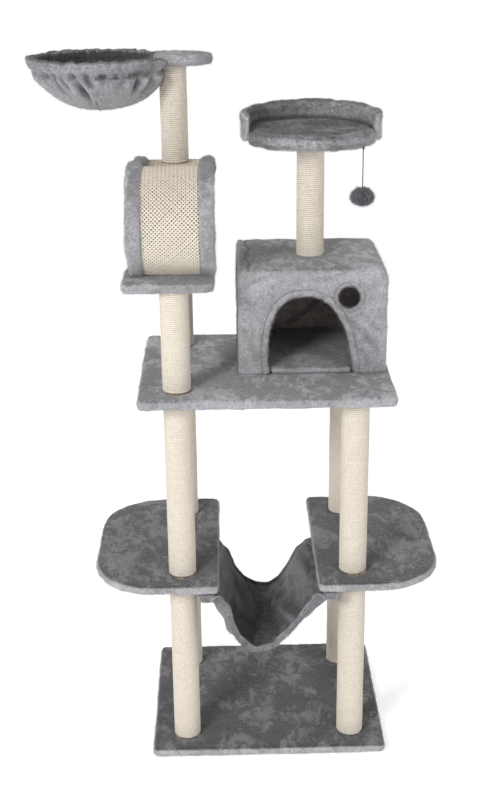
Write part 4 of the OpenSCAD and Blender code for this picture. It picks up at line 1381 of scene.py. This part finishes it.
    # Painted shade: the sleeve ends are evenly darkened.
    paint_shade(flaps, np.full(len(flaps.data.vertices), 0.35))
    pile(flaps, 1800, 74, 0.004, 0.0006)
    finish_piece(flaps, INNER)
    hairs = pile(sheet, 15000, 73, 0.0046, 0.0006, apart=INNER,
                 weight=lambda c, n: (np.abs(c[:, 0]) < 0.125)
                 * (0.4 + 10 * (c[:, 1] < y0 + 0.004) + 5 * (c[:, 1] > y1 - 0.004)))
    finish_piece(sheet, INNER, ["hammock_fabric"])


# ---- Toy ---------------------------------------------------------------------------------
def make_toy():
    """The cord first, then its knot, the sewn loop that it hangs from, and the pompom."""
    x0, x1, y0, y1, z0, z1 = place("toy_string")
    x, y, r = (x0 + x1) / 2, (y0 + y1) / 2, 0.0012
    t = np.linspace(0, 1, 61)
    route = np.stack([x + 0 * t, y + 0 * t, z1 + (z0 - z1) * t], 1)
    build = Build()
    ring = tube(route, r, 12)
    centre = route[:, None]
    swell = 1 + 0.05 * np.cos(4 * np.arange(12)[None] * math.pi / 6
                              + np.arange(61)[:, None] * 1.2)[..., None]
    build.grid(centre + (ring - centre) * swell, closed=True, caps=True)
    string = build.make("toy_cord")
    finish_piece(string, CORD, ["toy_string"], "toy")

    _, _, _, _, k0, k1 = place("toy_knot")
    a = full_turn(90)
    middle = (k0 + k1) / 2
    loop = np.stack([x + 0.00078 * (np.sin(a) + 2 * np.sin(2 * a)),
                     y + 0.00078 * (np.cos(a) - 2 * np.cos(2 * a)),
                     middle - 0.0013 * np.sin(3 * a)], 1)
    loop = np.vstack([loop, loop[:1]])
    build = Build()
    build.grid(tube(loop, 0.0012, 10), closed=True, caps=True)
    stub = np.stack([x + 0 * t, y + 0 * t, k0 - 0.0003 + (k1 - k0 + 0.0003) * t], 1)
    build.grid(tube(stub, 0.0011, 10), closed=True, caps=True)
    knot = build.make("toy_overhand_knot")
    finish_piece(knot, CORD, ["toy_knot"], "toy_knot")

    x0, x1, y0, y1, z0, z1 = place("toy_tab")
    band = np.array([(-0.0009, z1), (-0.0012, z0 + 0.0018), (-0.0006, z0 + 0.0005),
                     (0.0006, z0 + 0.0005), (0.0012, z0 + 0.0018), (0.0009, z1)])
    rows = []
    for px in np.linspace(x0, x1, 12):
        outer = [(px, (y0 + y1) / 2 + a, z) for a, z in band * (1.5, 1)]
        inner = [(px, (y0 + y1) / 2 + a * 0.5, z + 0.0006) for a, z in band[::-1]]
        rows.append(outer + inner)
    build = Build()
    build.grid(np.asarray(rows), closed=True, caps=True)
    finish_piece(build.make("toy_ribbon_tab"), CORD, ["toy_tab"])

    x0, x1, y0, y1, z0, z1 = place("pompom")
    centre = np.array([(x0 + x1) / 2, (y0 + y1) / 2, (z0 + z1) / 2])
    half = np.array([(x1 - x0) / 2, (y1 - y0) / 2, (z1 - z0) / 2])
    random = np.random.default_rng(5)
    count = 5200
    way = random.normal(0, 1, (count, 3))
    way /= np.linalg.norm(way, axis=1, keepdims=True)
    way = way[(way[:, 2] < 0.96)]
    bent = way + random.normal(0, 0.10, way.shape)
    roots = centre + way * half * 0.55
    tips = centre + bent * half * random.uniform(0.86, 1.03, (len(way), 1))
    build = Build()
    build.fibres(roots, tips, 0.0013, 0.06)
    u, v = np.meshgrid(np.linspace(0.02, math.pi - 0.02, 24),
                       full_turn(40), indexing="ij")
    ball = np.stack([np.sin(u) * np.cos(v), np.sin(u) * np.sin(v), np.cos(u)], -1)
    build.grid(centre + ball * half * 0.80, closed=True, caps=True)
    fluff = build.make("pompom_yarn")
    points = points_of(fluff)
    points[:, 2] -= 0.0012 * step(0.02, 0.03, np.abs(points[:, 0] - centre[0]))
    put_points(fluff, points)
    finish_piece(fluff, YARN, ["pompom"], "toy")


# ---- Carried-over parts and the run ------------------------------------------------------
def finish_carried_parts():
    """Boards, tubes and metal keep their shape and take a material."""
    for entry in frame["record"]["subparts"]:
        part = frame["nodes"][entry["node"]]
        if not part.hide_render:
            part.data.materials.clear()
            part.data.materials.append(HARD[entry["material_slot"]])


make_camera()
make_studio()
# The grey plush copies below differ in colour and in the colour of their painted top shade part by
# part, set to how bright each part looks, so these differences are partly painted light.
PLUSH = plush_material("grey_plush", (0.385, 0.381, 0.399), (0.215, 0.212, 0.22), 0.95)
DEEP = plush_material("deck_plush", (0.47, 0.46, 0.475), (0.088, 0.085, 0.089), 0.31)
BED_PLUSH = plush_material("bed_plush", (0.47, 0.465, 0.485), (0.075, 0.075, 0.08), 0.40)
CLOTH = plush_material("basket_plush", (0.29, 0.285, 0.30), (0.05, 0.05, 0.054), 0.4)
INNER = plush_material("hammock_plush", (0.36, 0.355, 0.375), (0.035, 0.034, 0.036), 0.45)
LINING = plush_material("house_lining", (0.32, 0.28, 0.27), (0.03, 0.028, 0.028), 0.5, 0.15)
ROPE = rope_material()
WEAVE = strand_material()
BACKING = backing_material()
CORD = cord_material()
YARN = yarn_material()
THREAD = thread_material()
HARD = {
    "chipboard": wood_material("chipboard", (0.50, 0.38, 0.25), True),
    "plywood": wood_material("plywood", (0.62, 0.48, 0.32), False),
    "cardboard": card_material(),
    "zinc_steel": zinc_material(),
}
make_toy()
for number, post in enumerate(POSTS):
    make_rope(post, 100 + number)
make_slabs()
make_weave()
make_trims()
make_basket()
make_hammock()
make_house()
make_house_floor()
make_bed()
finish_carried_parts()
